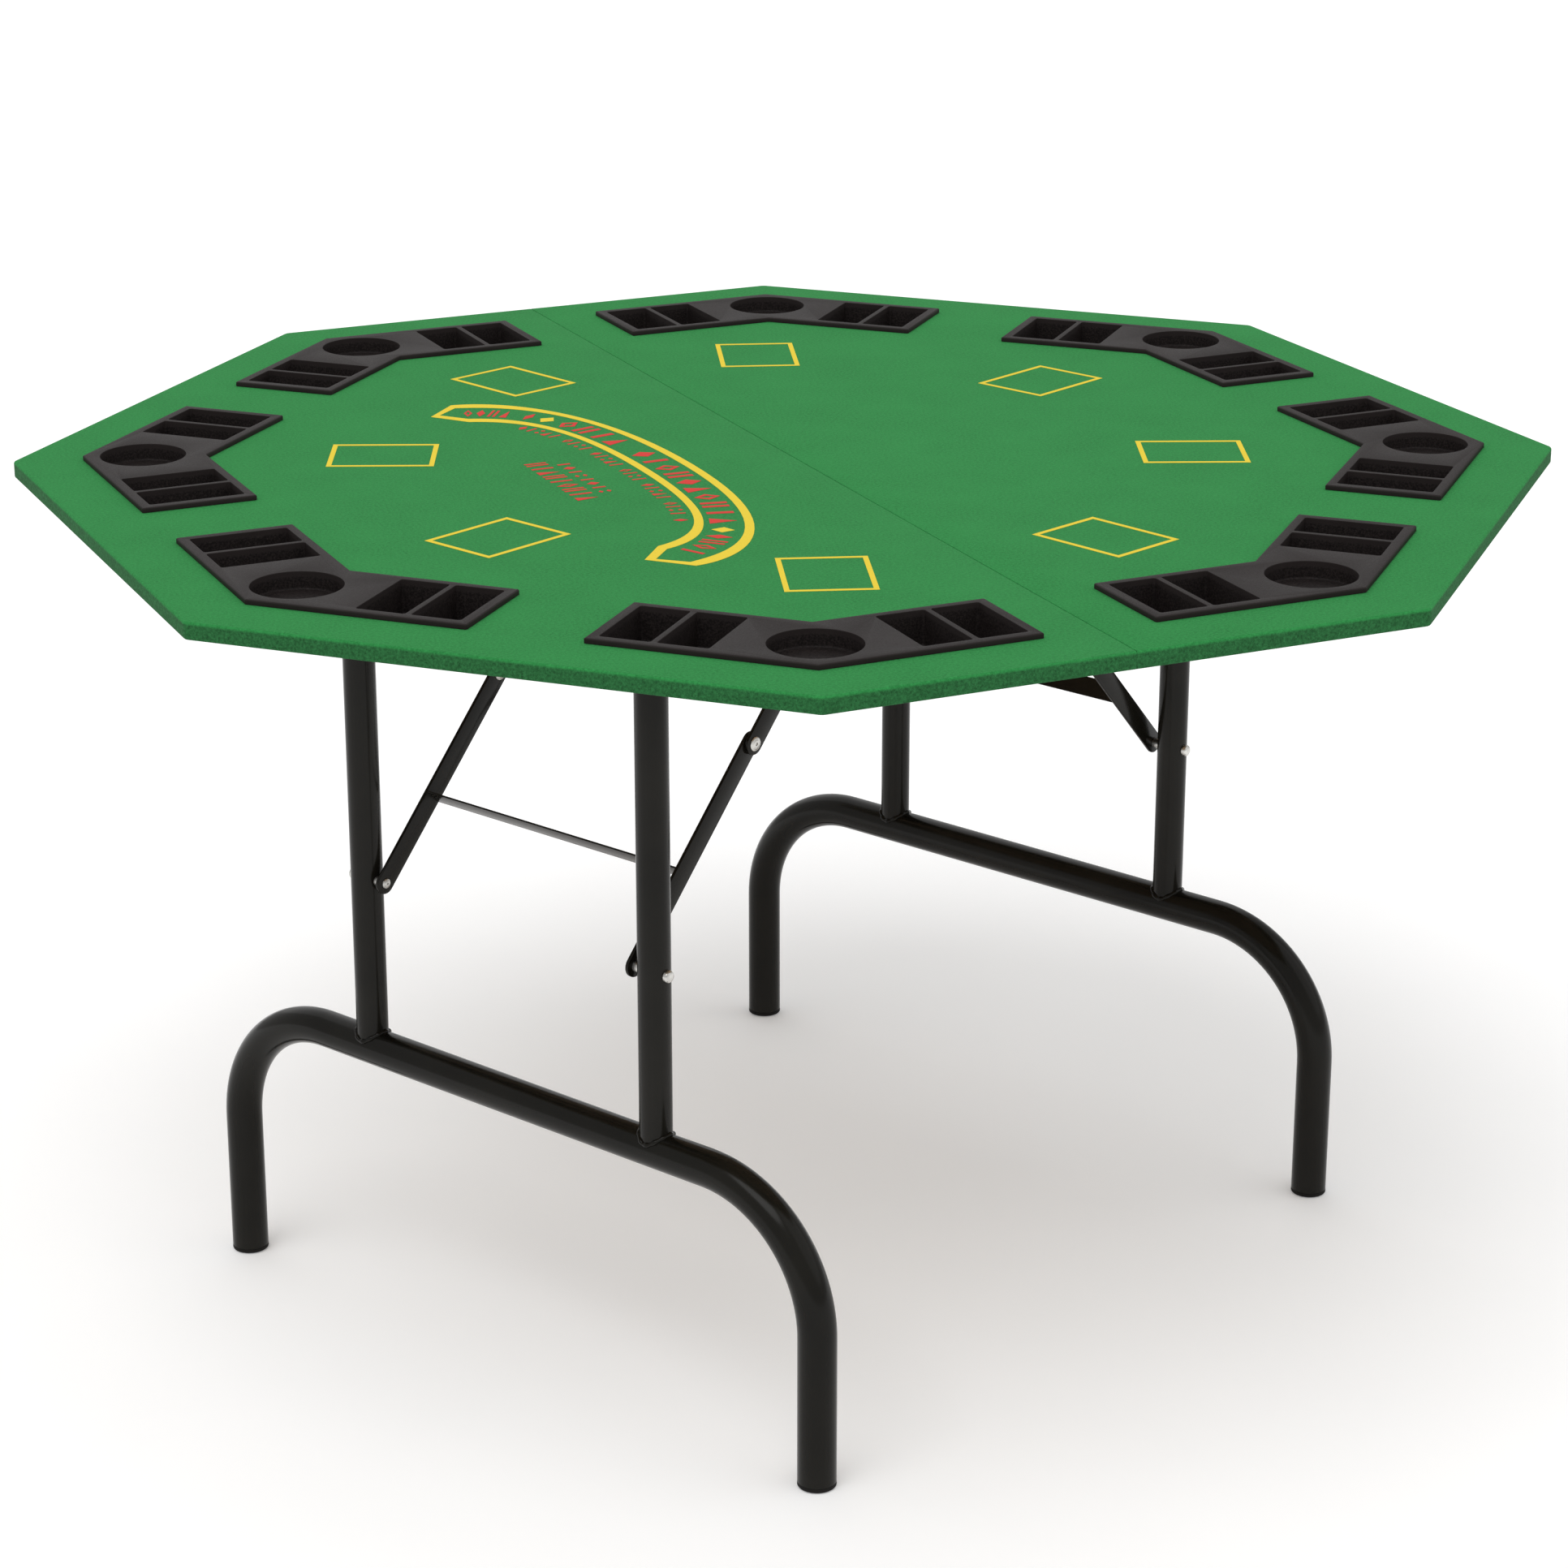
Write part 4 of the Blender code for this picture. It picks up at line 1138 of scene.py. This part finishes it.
def build_links(legs, side, letter):
    """The two flat links of one brace, from the bolt to the knee and from the bracket to the knee."""
    rows = (
        ("lower", LOWER_LENGTH, BRACE_ANGLE, LOWER_FACE, legs.lower, legs.at_bolt),
        ("upper", UPPER_LENGTH, BRACE_ANGLE + math.pi, UPPER_FACE, legs.upper, legs.at_bracket),
    )
    for kind, length, angle, face, body, place in rows:
        mesh = plate_mesh(lambda inset: link_outline(length, angle, inset), face, LINK_THICKNESS, side)
        legs.put(f"{kind}_bar", mesh, "steel", body, place, f"{kind}_link", letter)


def build_knee(legs, side, letter):
    """The knee rivet's two heads, one on each link."""
    u, z = BRACE_DIRECTION
    profile = head_profile(RIVET_HEAD, side * INNER_FACE, -side, KNEE_RADIUS, KNEE_INNER_HEIGHT)
    place = legs.at_bolt @ Matrix.Translation((LOWER_LENGTH * u, 0.0, LOWER_LENGTH * z))
    legs.put("knee_head_inner", turned_mesh(profile), "zinc", legs.lower, place, "knee_rivet", letter)
    profile = head_profile(RIVET_HEAD, side * UPPER_FACE, side, KNEE_RADIUS, KNEE_OUTER_HEIGHT)
    place = legs.at_bracket @ Matrix.Translation((-UPPER_LENGTH * u, 0.0, -UPPER_LENGTH * z))
    legs.put("knee_head_outer", turned_mesh(profile), "zinc", legs.upper, place, letter=letter)


def build_bolt(legs, side, letter):
    """The bolt through an upright: its head outside, and a spacer and a nut inside."""
    leg, place = legs.leg, legs.at_bolt
    outside = UPRIGHT_HALF_SPAN + UPRIGHT_RADIUS
    inside = UPRIGHT_HALF_SPAN - UPRIGHT_RADIUS
    profile = [(side * (outside - BOLT_SUNK), BOLT_SHANK)]
    profile += head_profile(BOLT_HEAD, side * (outside + GAP), side, BOLT_RADIUS, BOLT_HEIGHT)
    legs.put("bolt_head", turned_mesh(profile), "zinc", leg, place, "brace_bolt", letter)
    profile = [(side * (inside + SPACER_SUNK), SPACER_RADIUS), (side * (LOWER_FACE + GAP), SPACER_RADIUS)]
    legs.put("bolt_spacer", turned_mesh(profile, 24), "zinc", leg, place, letter=letter)
    profile = head_profile(RIVET_HEAD, side * INNER_FACE, -side, NUT_RADIUS, NUT_HEIGHT)
    legs.put("bolt_nut", turned_mesh(profile), "zinc", leg, place, letter=letter)


def build_top_fittings(legs, side, letter):
    """The saddle round the pivot tube, the brace's bracket and the pin in it."""
    legs.put("saddle_strap", saddle_mesh(side), "steel", legs.top, legs.place, "saddle", letter)
    legs.put("brace_angle", bracket_mesh(side), "steel", legs.top, legs.at_bracket, "brace_bracket", letter)
    height, crown, foot = PIN_DOME
    proud = side * (EAR_FACE + height)
    deep = UPPER_FACE - LINK_THICKNESS
    profile = [(proud, TIP_RADIUS), (proud, crown), (side * EAR_FACE, foot)]
    profile.append((side * (deep + PLATE_GAP), PIN_SHANK))
    profile += head_profile(RIVET_HEAD, side * deep, -side, PIN_RADIUS, PIN_HEIGHT)
    legs.put("bracket_pin", turned_mesh(profile), "zinc", legs.top, legs.at_bracket, letter=letter)


def build_screws(legs, side, letter):
    """The wood screws of a saddle and a bracket, each turned at random."""
    spots = [(u, side * SADDLE_CENTRE, legs.place) for u in (-SADDLE_SCREW_OUT, SADDLE_SCREW_OUT)]
    spots += [(u, side * (EAR_FACE - BRACKET_SCREW_IN), legs.at_bracket) for u in BRACKET_SCREWS]
    for index, (u, s, origin) in enumerate(spots):
        place = origin @ Matrix.Translation((u, s, PIVOT_DROP - GAP - PLATE))
        place = place @ Matrix.Rotation(RANDOM.uniform(0.0, math.pi / 2), 4, "Z")
        mesh = cross_head(SCREW_RADIUS, SCREW_HEIGHT, -1)
        legs.put("screw", mesh, "zinc", legs.top, place, letter=f"{letter}_{index + 1}")


def build_frame(side_name):
    legs = LegFrame(side_name)
    build_leg_tubes(legs)
    build_cross_strip(legs)
    for side, letter in ((-1, "a"), (1, "b")):
        build_upright(legs, side, letter)
        build_links(legs, side, letter)
        build_knee(legs, side, letter)
        build_bolt(legs, side, letter)
        build_top_fittings(legs, side, letter)
        build_screws(legs, side, letter)


# ---- underside details


def build_staples():
    """Wire staples that hold the turned-under felt, one row per straight edge."""
    for side_name, side in SIDES.items():
        form = bmesh.new()
        z = UNDERSIDE - FELT
        for angle, start, end in STAPLED_EDGES:
            a = math.radians(angle)
            normal = Vector((math.cos(a), math.sin(a)))
            along = Vector((-normal.y, normal.x))
            count = max(3, round((end - start) / STAPLE_PITCH))
            for i in range(count):
                sideways, inward, lean = (RANDOM.uniform(-stray, stray) for stray in STAPLE_STRAY)
                shift = start + (end - start) * (i + 0.5) / count + sideways
                middle = normal * (APOTHEM - STAPLE_IN + inward) + along * shift
                way = (along * math.cos(lean) + normal * math.sin(lean)) * STAPLE_HALF
                path = []
                for t, rise in STAPLE_SHAPE:
                    spot = middle + way * t
                    path.append(Vector((side * spot.x, spot.y, z + rise)))
                add_stack(form, swept_rings(path, STAPLE_WIRE, 6))
        name = f"staples_{side_name}"
        piece(name, mesh_from(form, 60), "zinc", f"top_{side_name}", AT_SEAM)


def paint_cad_nodes():
    """Gives each CAD node the finish of the first start of a name that matches."""
    for name, node in frame["nodes"].items():
        finish = next(finish for start, finish in CAD_FINISHES if name.startswith(start))
        node.data.materials.clear()
        node.data.materials.append(MATERIALS[finish])


def build_catch_screws():
    for side_name, node in (("left", "catch_magnet"), ("right", "catch_plate")):
        low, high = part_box(node)
        middle = (low + high) / 2
        for sign in (-1, 1):
            name = f"catch_screw_{side_name}_{'a' if sign < 0 else 'b'}"
            place = Matrix.Translation((middle.x, middle.y + sign * CATCH_SCREW_OUT, low.z))
            mesh = cross_head(CATCH_SCREW_RADIUS, CATCH_SCREW_HEIGHT, -1)
            piece(name, mesh, "zinc", f"top_{side_name}", place)


# ---- stage


def build_stage():
    m = Nodes("floor_white", roughness=0.8)
    tone = m.noise(3, 2.0)
    m.colour(m.ramp(tone, [(0.3, (0.92, 0.92, 0.92)), (0.7, (0.94, 0.94, 0.94))]))
    m.fixed(Emission_Color=(1.0, 1.0, 1.0, 1.0), Emission_Strength=FLOOR_GLOW)
    m.fixed(Specular_IOR_Level=0.1)
    form = bmesh.new()
    bmesh.ops.create_grid(form, x_segments=2, y_segments=2, size=FLOOR_HALF)
    mesh = bpy.data.meshes.new("floor")
    form.to_mesh(mesh)
    form.free()
    mesh.materials.append(m.material)
    floor = new_object("floor", mesh)
    floor.location.z = -FLOOR_DROP

    world = bpy.data.worlds.new("studio")
    bpy.context.scene.world = world
    world.use_nodes = True
    background = world.node_tree.nodes["Background"]
    background.inputs["Color"].default_value = (1.0, 1.0, 1.0, 1.0)
    background.inputs["Strength"].default_value = WORLD_STRENGTH
    for name, place, power, spread in SUNS:
        light = bpy.data.lights.new(name, "SUN")
        light.energy = power
        light.angle = math.radians(spread)
        lamp = new_object(name, light)
        lamp.location = place
        lamp.rotation_euler = (-Vector(place)).to_track_quat("-Z", "Y").to_euler()
    bpy.context.scene.view_settings.view_transform = "Standard"


def build_camera():
    """The view is fixed by its place from the middle of the top, its azimuth and its tilt."""
    azimuth, tilt = CAMERA_AZIMUTH, CAMERA_TILT
    back = Vector((math.sin(azimuth) * math.cos(tilt), -math.cos(azimuth) * math.cos(tilt), math.sin(tilt)))
    right = Vector((math.cos(azimuth), math.sin(azimuth), 0.0))
    up = back.cross(right)
    data = bpy.data.cameras.new("camera")
    data.sensor_width = SENSOR_WIDTH
    data.lens = CAMERA_LENS
    data.clip_end = CAMERA_FAR
    camera = new_object("camera", data)
    turn = Matrix((right, up, back)).transposed().to_4x4()
    camera.matrix_world = Matrix.Translation(SEAM + CAMERA_FROM_SEAM) @ turn
    bpy.context.scene.camera = camera


paint_cad_nodes()
for side_name in SIDES:
    build_felt(side_name)
build_trays()
build_layout()
for side_name in SIDES:
    build_frame(side_name)
build_staples()
build_catch_screws()
build_stage()
build_camera()
